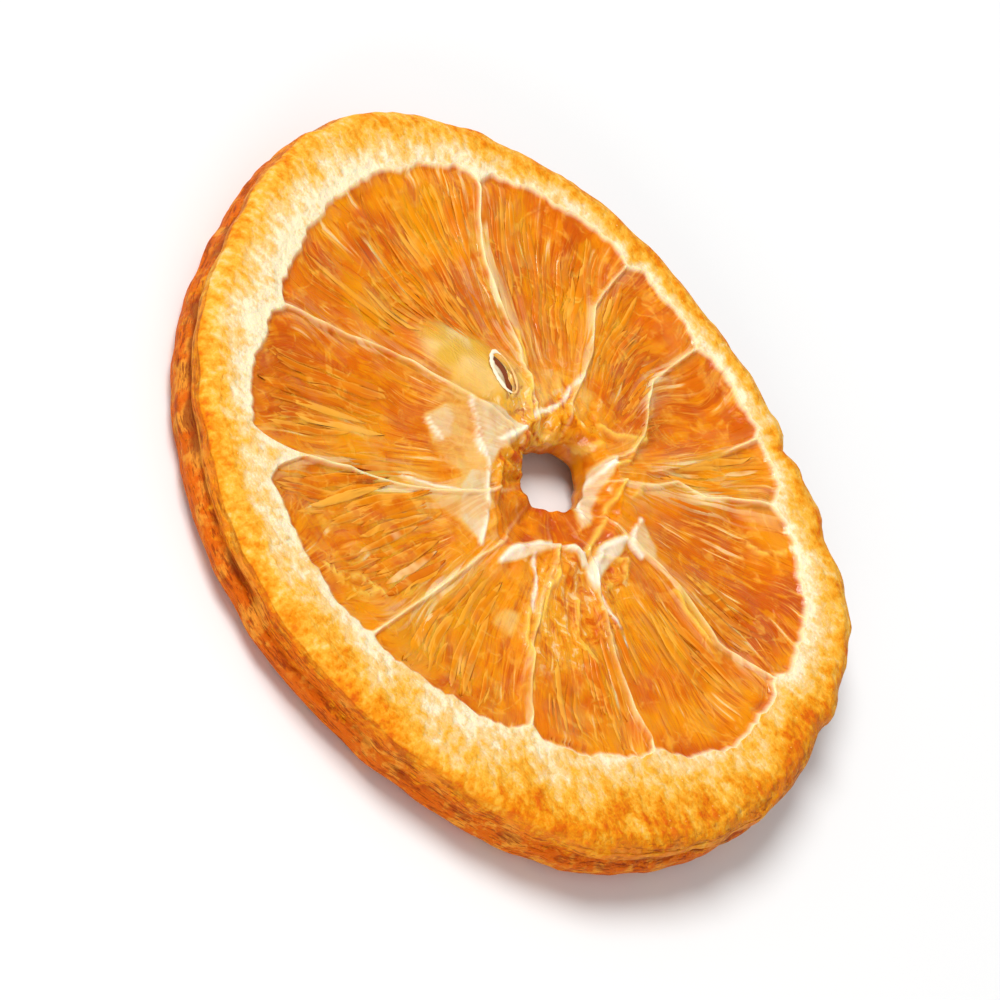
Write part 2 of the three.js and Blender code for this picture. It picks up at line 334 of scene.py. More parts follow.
def meet(ring):
    """Where every column crosses a ring: its angle and its distance from the core."""
    r = np.full(len(columns), CROSSING_START)
    for _ in range(CROSSING_STEPS):
        r = mix(r, ring(column_angles(r)), 0.5)
    return column_angles(r), r


# %% [markdown]
# ## Heights
# Water leaves the flesh first, so it sinks below the pith and sags most in the middle of a segment.
# The skins hold the old height and stand up as ridges, crumpled along their tops. The collapsed juice
# sacs leave low ribs that run the way the segment runs, and bend as they go. Over the seed the film
# has blown up into a blister.

# %% Heights of skins, flesh and rim
kept_share = np.array([skin[3] for skin in SKINS])[col_skin]
paleness = np.array([skin[4] for skin in SKINS])[col_skin]
BLISTER = (BLISTER_CENTRE, BLISTER_HALF, BLISTER_TURN)
SLIT_CENTRE, SLIT_HALF, SLIT_TURN = (-7.7, 5.3), (1.9, 0.8), -17
SLIT = (SLIT_CENTRE, SLIT_HALF, SLIT_TURN)


def rim_top(a):
    return RIM_HEIGHT - RIM_WAVER + waves(a, [(2, 0.06, 0.8), (5, 0.05, 2.0), (9, 0.03, 1.0)])


def patch(x, y, centre, half, turn):
    """1 in the middle of an oval place on the slice, fading to 0 past its edge."""
    c, s = math.cos(math.radians(turn)), math.sin(math.radians(turn))
    dx, dy = x - centre[0], y - centre[1]
    return ease(1.25 - np.hypot((dx * c + dy * s) / half[0], (dy * c - dx * s) / half[1]))


def standing(f):
    """How much of a skin is left, from 0 to 1, at share f of the way out."""
    return np.where(kept_share < 1, ease((f - 1 + kept_share) / (0.5 * kept_share)), 1.0)


def ridge(f, r=20.0):
    crown = np.where(on_ridge, 1.0 - np.abs(col_place) ** 1.3, 0.0)
    crumpled = 1.0 + 0.3 * noise(r / 1.3, col_skin * 3.7, 0.5)
    return standing(f) * crown * crumpled * mix(SKIN_RISE_CORE, SKIN_RISE, f)


def skin_mask(f):
    return np.where(on_ridge, standing(f) * ease(1.15 - 1.5 * np.abs(col_place)), 0.0)


def sag(f):
    return np.where(on_ridge, 0.0, FLESH_SAG * np.sin(np.pi * col_place) * np.sin(np.pi * np.clip(f, 0, 1)))


def bent(a, r):
    """The angle that the grain follows: it sways a little on the way in."""
    return a + (5.0 * round_noise(a, 3, r / 7) + 1.2 * round_noise(a, 8, r / 4 + 4))


def ribs(a, r):
    a = bent(a, r)
    wide, narrow = round_noise(a, 16, r / 5.5), round_noise(a, 34, r / 4.0 + 5, 9)
    return 0.16 * wide + 0.09 * narrow + 0.2 * round_noise(a, 6, r / 5.0, 0, 4)


print("ribs of", round(float(np.ptp(ribs(every_angle, 20.0))), 2), "mm from low to high")

# %% [markdown]
# ## Films and folds at the core
# By the core the skins have torn: whitish films stick to the flesh, folded double in places, and the
# flesh itself stands in golden folds. Loose sheets could be draped there, but real ones dry flat onto
# the flesh and share its translucency, so films and folds are low relief here and colour in the
# flesh's finish. Each is a short list of places as they show in the photograph's view, with their
# height; on_plan() moves them to where they lie.

# %% Places of the films and folds
def on_plan(x, y, z):
    """Where a thing lies, from above, that shows at x, y of the rim's plane and lies at height z."""
    return x, y + (RIM_HEIGHT - z) / math.tan(math.radians(VIEW_ELEVATION))


# Whitish films that stick to the flesh: how dense each is, and its corners as they show on the rim's
# plane, with their height.
FILMS = [
    (0.5, [(-9.1, -5.1, 5.7), (-8.5, -2.5, 5.8), (-7.6, -0.1, 5.9), (-5.7, 2.3, 6.0), (-2.7, 3.8, 5.8),
           (-2.4, 1.2, 5.5), (-2.4, -1.5, 5.4), (-1.9, -4.0, 5.3), (0.5, -6.4, 5.2), (2.9, -10.2, 5.3),
           (-0.2, -10.5, 5.4), (-3.4, -10.5, 5.5), (-2.7, -7.0, 5.4), (-6.4, -7.1, 5.6)]),
    (0.9, [(-7.5, 0.2, 5.9), (-5.7, 2.3, 6.0), (-2.7, 3.8, 5.8), (-2.4, 1.2, 5.5), (-2.4, -1.5, 5.4),
           (-1.9, -4.0, 5.3), (-4.1, -2.4, 5.6), (-5.8, -1.0, 5.8)]),
    (0.7, [(-9.1, -5.1, 5.7), (-8.5, -2.5, 5.8), (-7.2, -2.4, 5.8), (-5.9, -4.4, 5.6), (-6.4, -7.1, 5.6)]),
    (0.85, [(-3.0, -5.4, 5.4), (-1.7, -4.2, 5.3), (0.5, -6.4, 5.2), (2.9, -10.2, 5.3), (-0.2, -10.5, 5.4),
            (-2.4, -8.0, 5.4)]),
    (0.6, [(-6.4, -13.4, 5.6), (-3.0, -9.6, 5.5), (0.6, -7.4, 5.3), (2.6, -10.0, 5.3), (-1.0, -11.2, 5.4),
           (-4.0, -12.4, 5.5)]),
    (1.0, [(4.9, -10.6, 5.3), (4.5, -7.9, 5.3), (4.7, -5.4, 5.2), (6.4, -2.0, 5.1), (7.3, -2.9, 5.2),
           (6.2, -5.8, 5.3), (5.9, -8.3, 5.3)]),
    (1.0, [(7.3, -2.9, 5.2), (7.7, -1.2, 5.2), (8.9, -0.9, 5.3), (10.4, -1.1, 5.4), (9.9, -2.0, 5.4),
           (8.4, -1.9, 5.3)]),
    (1.0, [(9.8, 5.2, 5.6), (9.2, 2.3, 5.5), (9.6, -0.5, 5.4), (10.4, -2.0, 5.4), (12.2, -2.5, 5.5),
           (11.2, -0.2, 5.5), (10.8, 2.0, 5.5), (10.4, 5.1, 5.6)]),
    (0.75, [(9.5, 8.3, 5.7), (11.0, 8.3, 5.8), (13.4, 6.6, 5.8), (12.3, 5.2, 5.7), (10.6, 4.8, 5.6),
            (9.9, 6.4, 5.6)]),
    (0.8, [(3.7, 10.4, 5.2), (3.4, 7.6, 5.1), (4.5, 4.1, 4.8), (7.0, 0.7, 4.8), (7.4, 2.1, 4.8),
           (6.0, 5.6, 4.9), (5.1, 8.2, 5.1)]),
    (0.4, [(-7.2, 8.8, 5.8), (-4.6, 11.8, 5.6), (-3.6, 9.5, 5.6), (-3.2, 6.0, 5.8)]),
    (0.4, [(-3.7, 12.9, 5.5), (-1.0, 13.1, 5.4), (-1.0, 11.0, 5.4), (-2.7, 11.2, 5.5)]),
    (0.5, [(8.6, -15.2, 5.2), (10.8, -14.4, 5.2), (9.6, -11.8, 5.2), (8.4, -12.6, 5.2)]),
    (0.6, [(6.6, 11.9, 5.4), (7.3, 9.6, 5.3), (7.7, 8.4, 5.3), (7.9, 10.0, 5.3)]),
    (0.45, [(-11.1, 2.6, 6.4), (-9.5, 5.8, 6.3), (-6.0, 4.2, 6.3), (-7.2, 0.3, 6.3), (-9.4, -3.2, 6.2)]),
    (0.3, [(2.2, 9.5, 5.0), (4.0, 13.8, 5.1), (6.0, 12.6, 5.1), (3.9, 8.6, 5.0)]),
]
# Where films are folded double and whiter, and where flesh stands in golden folds.
WHITE_FOLDS = [
    [(-7.5, 0.2, 5.9), (-5.8, -0.9, 5.8), (-4.1, -2.2, 5.6), (-1.9, -4.1, 5.3)],
    [(-8.6, -5.1, 5.7), (-6.5, -5.9, 5.6)], [(-2.8, 3.3, 5.7), (-3.1, 1.4, 5.6), (-3.3, -0.4, 5.5)],
    [(-1.9, -4.1, 5.3), (0.6, -7.2, 5.3), (2.7, -10.2, 5.3)], [(-5.9, -12.8, 5.6), (-2.0, -8.6, 5.4)],
    [(9.7, 8.2, 5.7), (10.0, 6.4, 5.6), (10.6, 4.9, 5.6), (12.2, 5.3, 5.7)],
    [(4.1, 9.4, 5.1), (4.6, 5.2, 4.9), (6.4, 2.2, 4.8)],
    [(10.9, -1.6, 5.5), (14.5, -2.6, 5.3), (17.1, -3.5, 5.2)],
    [(5.8, -5.6, 5.3), (8.0, -7.4, 5.2), (9.9, -10.4, 5.2)],
    [(-3.2, 13.4, 5.5), (-3.2, 11.0, 5.4), (-2.6, 8.8, 5.3), (-2.8, 6.4, 5.4), (-3.2, 5.2, 5.6)],
    [(5.0, -9.8, 5.3), (4.8, -7.6, 5.3), (5.1, -5.4, 5.2), (6.5, -2.8, 5.1), (7.6, -2.0, 5.2),
     (8.8, -1.2, 5.3)],
    [(10.1, 4.8, 5.6), (9.6, 2.2, 5.5), (10.1, -0.2, 5.4), (11.4, -1.9, 5.4)],
]
GOLD_FOLDS = [
    [(-2.0, 1.6, 4.1), (-1.2, 2.6, 3.9), (-0.2, 4.1, 3.8), (1.3, 5.0, 3.8), (2.6, 5.1, 3.9)],
    [(2.6, 5.1, 3.9), (3.7, 4.2, 3.8), (4.9, 2.7, 3.7)],
    [(-2.5, 4.0, 4.8), (-1.1, 5.2, 4.7), (0.2, 6.3, 4.6), (1.7, 7.8, 4.7), (2.4, 9.2, 4.9)],
    [(6.2, 8.6, 5.2), (7.7, 3.8, 5.0), (8.6, 0.6, 5.1), (9.0, -0.8, 5.2)],
    [(6.9, -2.8, 5.3), (8.7, -5.1, 5.2), (10.2, -9.1, 5.1), (11.3, -11.5, 5.0)],
    [(9.7, -10.8, 5.1), (11.4, -13.4, 5.0), (15.2, -16.5, 5.0)],
    [(11.9, -5.0, 5.2), (14.1, -8.2, 5.0), (16.8, -8.3, 5.0)],
    [(9.9, 0.4, 5.4), (11.4, 3.0, 5.3), (12.6, 1.6, 5.3), (12.4, -1.0, 5.3)],
    [(-3.7, -28.0, 5.1), (-1.1, -27.4, 5.1), (0.3, -26.1, 5.1), (0.7, -24.3, 5.1)],
    [(-2.3, -27.4, 5.1), (-1.3, -25.3, 5.1), (1.1, -24.2, 5.1)],
    [(16.5, 16.7, 5.2), (18.6, 17.4, 5.2), (19.7, 19.6, 5.2)], [(16.4, 5.3, 5.1), (21.6, 4.9, 5.1)],
    [(-9.7, 10.3, 5.6), (-6.4, 7.7, 5.7), (-4.6, 5.6, 5.8), (-3.3, 4.9, 5.8)],
    [(4.1, 13.0, 5.0), (5.0, 10.8, 5.0), (4.6, 8.9, 4.9)],
    [(1.0, 10.4, 4.9), (2.6, 11.6, 5.0), (4.4, 14.2, 5.1)],
]
# The lower part of the core, where more flesh is crumpled.
CRUMPLED = [(5.3, -6.6, 5.2), (11.3, 3.6, 5.3), (17.0, -2.6, 5.1), (16.6, -10.8, 5.0), (13.0, -15.0, 5.0)]
print(len(FILMS), "films,", len(WHITE_FOLDS), "white folds,", len(GOLD_FOLDS), "golden folds")

# %% [markdown]
# ## From places to relief
# A film is there wherever a point lies inside its corners, and a fold wherever one lies near its
# line. Both are asked of every point of the mesh, through a little noise that tears their edges.

# %% Relief of the films and folds
def to_line(x, y, knots):
    """The distance to a bent line, in millimetres."""
    nearest = np.full(np.shape(x), np.inf)
    for (ax, ay), (bx, by) in zip(knots, knots[1:]):
        wide, high = bx - ax, by - ay
        t = np.clip(((x - ax) * wide + (y - ay) * high) / (wide * wide + high * high), 0, 1)
        nearest = np.minimum(nearest, np.hypot(x - ax - t * wide, y - ay - t * high))
    return nearest


def depth_in(x, y, corners):
    """How far inside a shape a place is, in millimetres; less than nothing outside."""
    closed = [on_plan(*corner) for corner in corners + corners[:1]]
    inside = np.zeros(np.shape(x), bool)
    for (ax, ay), (bx, by) in zip(closed, closed[1:]):
        rise = by - ay if by != ay else 1e-6
        inside ^= ((ay > y) != (by > y)) & (x < ax + (y - ay) * (bx - ax) / rise)
    return np.where(inside, 1, -1) * to_line(x, y, closed)


TORN_BY, TORN_STEP = 0.3, 1.4
WHITE_HALF, GOLD_HALF = 0.5, 0.6


def ragged(x, y):
    """A place moved a little this way and that, which tears straight edges."""
    return x + TORN_BY * bumps(x, y, TORN_STEP, 20.5), y + TORN_BY * bumps(x, y, TORN_STEP, 25.5)


def film_cover(x, y):
    """How much film covers a place, from 0 to 1."""
    u, v = ragged(x, y)
    covered = 0 * x
    for dense, corners in FILMS:
        covered = np.maximum(covered, dense * ease(0.5 + depth_in(u, v, corners) / mix(1.3, 0.5, dense)))
    return covered


def on_folds(x, y, folds, half):
    """1 along the folds, fading to 0 half a fold's width away; the width varies a little."""
    u, v = ragged(x, y)
    uneven = half * (0.75 + 0.4 * bumps(x, y, 1.2, 40.5))
    high = 0 * x
    for fold in folds:
        high = np.maximum(high, ease(1 - to_line(u, v, [on_plan(*knot) for knot in fold]) / uneven))
    return high


def torn_tissue(x, y, a, t):
    """1 where flesh is wrinkled golden tissue: over and left of the hole in the picture, and below it."""
    side = facing(a, 175.0, 95.0, 1.25) * ease(1 - 2.5 * np.maximum(0.0, t))
    return np.maximum(side, 0.6 * ease(0.5 + depth_in(x, y, CRUMPLED) / 3))


def crumple(x, y):
    """Folds of the flesh by the core; a film that sticks to it lies smoother, but is folded itself."""
    flesh_folds = 0.3 * bumps(x, y, 2.4, 3.3) + 0.17 * bumps(x, y, 1.0, 8.1)
    film = film_cover(x, y)
    white, golden = on_folds(x, y, WHITE_FOLDS, WHITE_HALF), on_folds(x, y, GOLD_FOLDS, GOLD_HALF)
    raised = 0.14 * white + 0.26 * golden
    return flesh_folds * (1 - 0.6 * film) + 0.2 * film + raised


def pebble(x, y, z=0.0):
    """The rind's and pith's grain."""
    coarse = noise(x / 2.2, y / 2.2, z / 2.2 + 6.2)
    return 0.09 * noise(x / 0.8, y / 0.8, z / 0.8 + 1.7) + 0.11 * coarse


print("film at the left of the hole:", round(float(film_cover(np.array(-4.0), np.array(1.0))), 2))

# %% [markdown]
# ## Rings of the upper side
# The closed body is a stack of rings: from the core hole out over the flesh, up the small step to
# the pith, across it, down the rind's side, and back under to the hole. Each ring gives every column
# a distance and a height, and notes what the finishes need to know: how far out in the flesh a
# point is, how far across the peel, and whether it lies on a skin.

# %% Upper rings
rings, notes = [], []


def add_ring(ring, height, peel, along, band=0.0, skin=0.0, fold=0.0):
    a, r = meet(ring)
    x = CORE_CENTRE[0] + r * np.cos(np.radians(a))
    y = CORE_CENTRE[1] + r * np.sin(np.radians(a))
    rings.append(np.stack([x, y, height(a, r, x, y)], 1))
    every = np.ones(len(columns))
    notes.append({
        "peel": peel, "along": every * along, "band": every * band, "skin": every * skin,
        "fold": every * (fold(a) if callable(fold) else fold), "angle": a, "far": r,
    })


def core_folds(a, r):
    """Folds that run into the hole, deep on its left side and nearly none on its smooth right side."""
    rough = mix(1.0, 0.25, facing(a, -30.0, 50.0, 1.0))
    return rough * (0.6 * round_noise(a, 4.2, r / 4 + 2) + 0.45 * round_noise(a, 8, r / 2))


def tissue_folds(a, x, y, t):
    """Sharp little folds of the golden tissue, like crumpled foil."""
    foil = 1 - np.abs(bumps(x, y, 1.1, 31.0)) * 2 - np.abs(bumps(x, y, 0.5, 35.0))
    return 0.16 * torn_tissue(x, y, a, t) * foil


def hollow_rise(a, t):
    """How far up the hollow's wall is, from 0 to 1: a slope, but a torn step on the lower side."""
    torn = facing(a, -75.0, 60.0, 1.2)
    return mix(t * (1.6 - 0.6 * t), 0.35 * t + 0.65 * ease((t - 0.72) / 0.2), torn)


HOLLOW_STEPS, FLESH_STEPS, PITH_STEPS = 26, 68, 16
PITH_FOOT = 0.75
EDGE_RISE = 0.4
for t in np.linspace(0, 1, HOLLOW_STEPS):
    add_ring(
        lambda a: mix(table("hole", a), table("hollow", a), t),
        lambda a, r, x, y: mix(CORE_TOP, FLESH_TOP, hollow_rise(a, t)) + ridge(0) * t * t
        + BLISTER_RISE * patch(x, y, *BLISTER) * t + core_folds(a, r) * (0.35 + 0.65 * math.sin(math.pi * t))
        + crumple(x, y) * (0.4 + 0.6 * t) + tissue_folds(a, x, y, t - 1),
        False, -1 + t, skin=skin_mask(0) * t,
    )
for i in range(1, FLESH_STEPS + 1):
    t = (i / (FLESH_STEPS + 1)) ** 1.2
    add_ring(
        lambda a: mix(table("hollow", a), table("flesh", a) - PITH_FOOT, t),
        lambda a, r, x, y: FLESH_TOP + EDGE_RISE * ease((t - 0.76) / 0.24) + ridge(t, r) - sag(t)
        + BLISTER_RISE * patch(x, y, *BLISTER) - 0.7 * patch(x, y, *SLIT)
        + waves(a, [(7, 0.06, 1.5)]) + crumple(x, y) * mix(0.25, 1, ease(1.1 - 2.6 * t))
        + tissue_folds(a, x, y, t) + 0.15 * on_folds(x, y, GOLD_FOLDS, GOLD_HALF)
        + ribs(a, r) * (1 - 0.85 * patch(x, y, *BLISTER)) * (1 - 0.6 * film_cover(x, y))
        * np.where(on_ridge, 0.35, 1) * ease(t * 4 + 0.3),
        False, t, skin=skin_mask(t),
    )
for t in (0.0, 0.2, 0.4, 0.6, 0.8):
    add_ring(
        lambda a: table("flesh", a) - PITH_FOOT * (1 - t),
        lambda a, r, x, y: mix(FLESH_TOP + EDGE_RISE + ridge(1), rim_top(a) - PITH_LIP_DROP - 0.1, ease(t))
        + 0.5 * pebble(x, y) + 0.12 * math.sin(math.pi * t) * noise(a / 1.7, 0.5, 6.5),
        False, 1, skin=np.maximum(skin_mask(1), ease(1.5 * t - 0.5)),
    )
for t in np.linspace(0, 1, PITH_STEPS):
    add_ring(
        lambda a: mix(table("flesh", a), table("rim", a) - FACE_IN, t),
        lambda a, r, x, y: rim_top(a) - PITH_LIP_DROP * (1 - t) ** 2
        + pebble(x, y) * ease(t * 5 + 0.4) - 0.05
        + 0.07 * ease(1 - 12 * t) * (1 + noise(a / 1.3, 0.5, 2.5)),
        True, 1, band=0.78 * t, skin=1.0,
    )
print(len(rings), "rings on the upper side")

# %% [markdown]
# ## The rind's side
# The side is a profile: how far out it swells and how high, as a share of the rim. As the peel
# shrank it folded, so an uneven groove runs round it, with shorter wrinkles above and below that run
# the same way. The depth of the groove and the wrinkles is kept as well, and the peel's finish paints
# shade into them by it.

# %% Side rings
SIDE = [
    (-1.7, 0.98, 0), (-1.2, 0.965, 0), (-0.5, 0.93, 0), (0.1, 0.89, 0), (0.5, 0.84, 0), (0.8, 0.78, 0),
    (0.95, 0.71, 0.1), (0.95, 0.65, 0.35), (0.75, RIND_CREASE_HEIGHT / RIM_HEIGHT, 1), (0.9, 0.48, 0.4),
    (1, 0.41, 0.1), (0.95, 0.34, 0), (0.75, 0.26, 0.15), (0.35, 0.19, 0), (-0.3, 0.12, 0),
    (-1.2, 0.06, 0), (-2.1, 0.025, 0),
]


def swell(a):
    return 1 + waves(a, [(3, 0.18, 0.5), (11, 0.16, 2.6), (19, 0.12, 1.1)])


def crease(a):
    return np.clip(0.8 + waves(a, [(3, 0.45, 2.2), (7, 0.25, 0.3), (13, 0.2, 1.3)]), 0.1, 1.7)


def wrinkles(a, high):
    """Wrinkles round the side: long the way of the rim, narrow from top to bottom."""
    long_ones = round_noise(a, 9, high * 8 + 1.5 * round_noise(a, 4, 9.0))
    return 0.7 * long_ones + 0.5 * round_noise(a, 30, high * 10 + 3)


SIDE_STEPS = 38
for i in range(SIDE_STEPS):
    t = i / (SIDE_STEPS - 1)
    place = np.arange(len(SIDE))
    out, high, fold = (np.interp(t * (len(SIDE) - 1), place, part) for part in zip(*SIDE))
    rough = min(1.0, 3 * high) * (0.24 if out > 0 else 0.1)

    def side_distance(a):
        tucked = out * RIND_BULGE if out < 0 else out * RIND_BULGE * swell(a)
        return table("rim", a) + tucked - max(-out, 0) * 0.19 - fold * RIND_CREASE * crease(a) \
            + rough * wrinkles(a, high)

    # The band grows on down the side: painted shade, darker towards the bottom.
    add_ring(
        side_distance,
        lambda a, r, x, y: high * (rim_top(a) + RIM_WAVER)
        + fold * waves(a, [(2, 0.4, 1.2), (5, 0.25, 0.2)])
        + 0.6 * pebble(x, y, high * 6) * min(1, max(0, high - 0.05) * 8),
        True, 1, band=0.78 + 0.22 * min(1, 4 * t) + max(0, t - 0.25) / 0.75,
        fold=lambda a: fold * crease(a) - wrinkles(a, high) * ease(6 * t - 0.9),
    )

# %% [markdown]
# ## The under side
# The photograph hides it. A slice dries on a rack or a sheet, so its pith lies flat and the flesh is
# sunk from this side too, with the same skins showing as ridges.

# %% Under rings
def flat(a, r, x, y):
    """The height of what lies on the ground; it takes what every height function takes."""
    return 0 * a


add_ring(lambda a: table("rim", a) - FLAT_IN, flat, True, 1, band=0.8)
for t in (0.66, 0.33):
    add_ring(
        lambda a: mix(table("flesh", a) + 0.4, table("rim", a) - FLAT_IN, t), flat, True, 1, band=0.7 * t)
add_ring(lambda a: table("flesh", a) + 0.1, lambda a, r, x, y: 0 * a + PITH_LIP_DROP, True, 1, band=0.02)
UNDER_STEPS = 22
for t in np.linspace(0.97, 0, UNDER_STEPS):
    add_ring(
        lambda a: mix(table("hollow", a), table("flesh", a) - 0.3, t),
        lambda a, r, x, y: np.maximum(
            0.3, FLESH_UNDER - 0.85 * ridge(t) + 0.6 * sag(t) - 0.25 * ease((t - 0.7) / 0.3)
            - ribs(a + 40, r) * ease(t * 4) + 0.5 * crumple(x, y) * ease(1.2 - 4 * t)),
        False, t, skin=skin_mask(t),
    )
for t in (0.7, 0.35, 0.0):
    add_ring(
        lambda a: mix(table("hole", a) + 0.05, table("hollow", a), t),
        lambda a, r, x, y: mix(CORE_UNDER, FLESH_UNDER, t) + 0.5 * crumple(x, y) * t,
        False, -1 + t,
    )
for t in (0.3, 0.6, 0.85):
    add_ring(
        lambda a: table("hole", a) + 0.25 * t * (1 - t) * (1 + waves(a, [(3, 0.9, 0.0), (8, 0.5, 1.0)])),
        lambda a, r, x, y: mix(CORE_UNDER, CORE_TOP - 0.1, t) + core_folds(a, r) * 0.35 * t,
        False, -1,
    )
print(len(rings), "rings,", 2 * len(rings) * len(columns), "triangles")

# %% [markdown]
# ## The body as one closed mesh
# The rings are joined into quads, ring to ring and the last ring back to the first, so the body has
# no open edge. Its middle is brought to the frame's origin, as the solid's is. The finishes read
# what was noted at each ring as attributes of the mesh.

# %% Body mesh
points = np.concatenate(rings)
points[:, 2] = held_down(points[:, 2], BODY_TOP)
middle = (points[:, :2].max(0) + points[:, :2].min(0)) / 2
points[:, :2] -= middle
print("middle of the footprint", middle.round(3))

count, total = len(columns), len(rings)
inner = np.arange(total * count).reshape(total, count)
outer = np.roll(inner, -1, axis=0)
faces = np.stack([inner, outer, np.roll(outer, -1, axis=1), np.roll(inner, -1, axis=1)], -1).reshape(-1, 4)


def put(name, data):
    """A new object in the scene."""
    thing = bpy.data.objects.new(name, data)
    bpy.context.scene.collection.objects.link(thing)
    return thing


def plain_mesh(name, verts_mm, polygons):
    mesh = bpy.data.meshes.new(name)
    mesh.from_pydata((np.asarray(verts_mm) * MM).tolist(), [], [list(p) for p in polygons])
    mesh.polygons.foreach_set("use_smooth", [True] * len(mesh.polygons))
    mesh.update()
    return put(name, mesh)


def store(mesh, name, values, kind="FLOAT"):
    layer = mesh.attributes.new(name, kind, "POINT")
    slot = "vector" if kind == "FLOAT_VECTOR" else "value"
    layer.data.foreach_set(slot, np.asarray(values, float).ravel())


body = plain_mesh("dried_slice", points, faces)
print("body:", len(points), "points")

# %% [markdown]
# ## Notes for the finishes
# A finish can't know where a skin or a film is, so the mesh tells it: each point keeps how pale,
# golden or filmy the slice is there, how deep it lies, which the flesh's finish turns into painted
# shade in the hollow, and coordinates that run along the grain and round the side. They are stored as
# attributes, which the materials read by name.

# %% Notes on the body
noted_names = ("along", "band", "skin", "fold", "angle", "far")
noted = {key: np.concatenate([n[key] for n in notes]) for key in noted_names}
plan_x, plan_y = points[:, 0] + middle[0], points[:, 1] + middle[1]
upper = points[:, 2] > UPPER_FROM
is_peel = np.repeat([n["peel"] and after["peel"] for n, after in zip(notes, notes[1:] + notes[:1])], count)
skin_tone = np.tile(paleness, total) * mix(0.55, 1.0, ease(noted["along"] * 1.6 - 0.2))


def beside(side_skins, sign):
    """How pale the flesh is beside the skins on one side of it, fading with the distance in mm."""
    which = np.tile(side_skins, total)
    off = between(noted["angle"], skin_angles(which, noted["far"])) * sign
    mm_off = noted["far"] * np.radians(np.maximum(off, 0.0))
    pale = np.array([skin[4] * ease(skin[3] * 2) for skin in SKINS])[which]
    return pale ** 0.5 * np.exp(-mm_off / (0.25 + 1.1 * pale ** 2))


by_skin = np.maximum(beside(col_skin, 1), beside(col_next, -1)) * (noted["along"] > 0) * upper
by_skin = by_skin * (0.5 + 0.5 * ease(1 - 2.4 * np.abs(noted["along"] - 0.55)))
gold = ease((patch(plan_x, plan_y, *BLISTER) - 0.12) * 1.9) * upper
# Where the pith is whiter, or less white: towards which angle, over how many degrees, how much.
WHITER = [(192.0, 36.0, 0.26), (55.0, 45.0, 0.14), (-8.0, 36.0, -0.2), (-92.0, 26.0, 0.14)]
whiter = sum(much * facing(noted["angle"], at, spread) for at, spread, much in WHITER)
on_flesh = upper * (noted["along"] < 1)
film = film_cover(plan_x, plan_y)
tissue = torn_tissue(plan_x, plan_y, noted["angle"], noted["along"]) * (1 - film)
golden = 0.7 * facing(noted["angle"], -95.0, 40.0, 1.4)
golden = np.maximum(golden, patch(plan_x, plan_y, (-25.0, 11.0), (3.6, 3.2), 60))
golden = np.maximum(golden, 0.8 * patch(plan_x, plan_y, (12.5, 7.2), (4.0, 4.0), 0))
# Painted shade: the flesh is painted redder and darker the lower it lies in the hollow, and at a few dark
# spots in the deepest creases.
deep = ease((5.0 - points[:, 2]) / 1.6) * (noted["along"] < 0.5)
DARK_SPOTS = [(-1.2, 3.2), (2.6, -3.0), (3.8, -4.3), (8.0, 1.0)]
for spot in DARK_SPOTS:
    deep = np.maximum(deep, 1.3 * patch(plan_x, plan_y, spot, (0.7, 0.5), 40))


def spread_out(angle, wide, high):
    """Coordinates round the slice, so that a pattern read from them runs along it."""
    turned = np.radians(angle)
    return np.stack([np.cos(turned) * wide, np.sin(turned) * wide, high], 1)


for name, values in {
    "band": noted["band"] - whiter * (noted["band"] < 1.0),
    "fold": noted["fold"],
    "skin": noted["skin"] * np.where(noted["along"] > 0.995, 1, skin_tone),
    "gold": gold,
    "by_skin": by_skin,
    "film": film * on_flesh,
    "white_fold": on_folds(plan_x, plan_y, WHITE_FOLDS, 1.1 * WHITE_HALF) * on_flesh,
    "gold_fold": on_folds(plan_x, plan_y, GOLD_FOLDS, GOLD_HALF) * on_flesh,
    "tissue": tissue * on_flesh,
    "golden": golden,
    "streaky": ease((noted["along"] - 0.05) * 3.5),
    "deep": deep * upper,
}.items():
    store(body.data, name, values)
store(body.data, "side_way", spread_out(noted["angle"], 13, points[:, 2] / 0.55), "FLOAT_VECTOR")
grain = spread_out(bent(noted["angle"], noted["far"]), 22, noted["far"] / 2.6)
store(body.data, "grain", grain, "FLOAT_VECTOR")
print("notes:", [layer.name for layer in body.data.attributes], "and", int(is_peel.sum()), "peel faces")

# %% [markdown]
# ## Where the juice sacs and crumbs grow
# A few more notes steer what grows on the body: where there is bare flesh and how big a sac is
# there, where the pith crumbles and its edge frays, and which way the grain runs. A sac is long and
# thin and points from the rind to the core, swaying a little.

# %% Places for what grows
to_skin = np.tile(np.minimum(col_place, 1 - col_place), total)
away_from_skin = np.where(np.tile(on_ridge, total), 0.0, ease(to_skin * 9))
from_core = noted["along"]
bundled = ease(0.35 + 2.4 * bumps(plan_x, plan_y, 3.6, 12.0))
room = ease((from_core - 0.3) * 5) * ease((0.97 - from_core) * 12) * away_from_skin * bundled
room = room * (1 - ease(gold * 2)) * (1 - ease(3 * film)) * (1 - 0.9 * ease(2 * tissue)) * upper
sway = noted["angle"] + 8 * bumps(plan_x, plan_y, 5, 1.0) + 3 * bumps(plan_x, plan_y, 2, 4.0)
to_pith = table("flesh", noted["angle"]) - PITH_FOOT - noted["far"]
sac_length = np.minimum(np.clip(noted["far"] / 21.0, 0.4, 1.1), np.maximum(0.22, (to_pith + 0.2) / 5.0))
store(body.data, "sac_room", room)
store(body.data, "sac_size", sac_length)
store(body.data, "lie", spread_out(sway, 1, 0 * sway), "FLOAT_VECTOR")
on_pith = (noted["band"] < 0.76) * np.repeat([n["peel"] for n in notes], count) * (points[:, 2] > 5.0)
store(body.data, "pith_room", on_pith * (0.35 + 0.65 * ease(1 - noted["band"] * 2)))
store(body.data, "edge_room", on_pith * ease(1 - noted["band"] * 9))
print("room for sacs on", round(float(room.mean()), 2), "of the points")

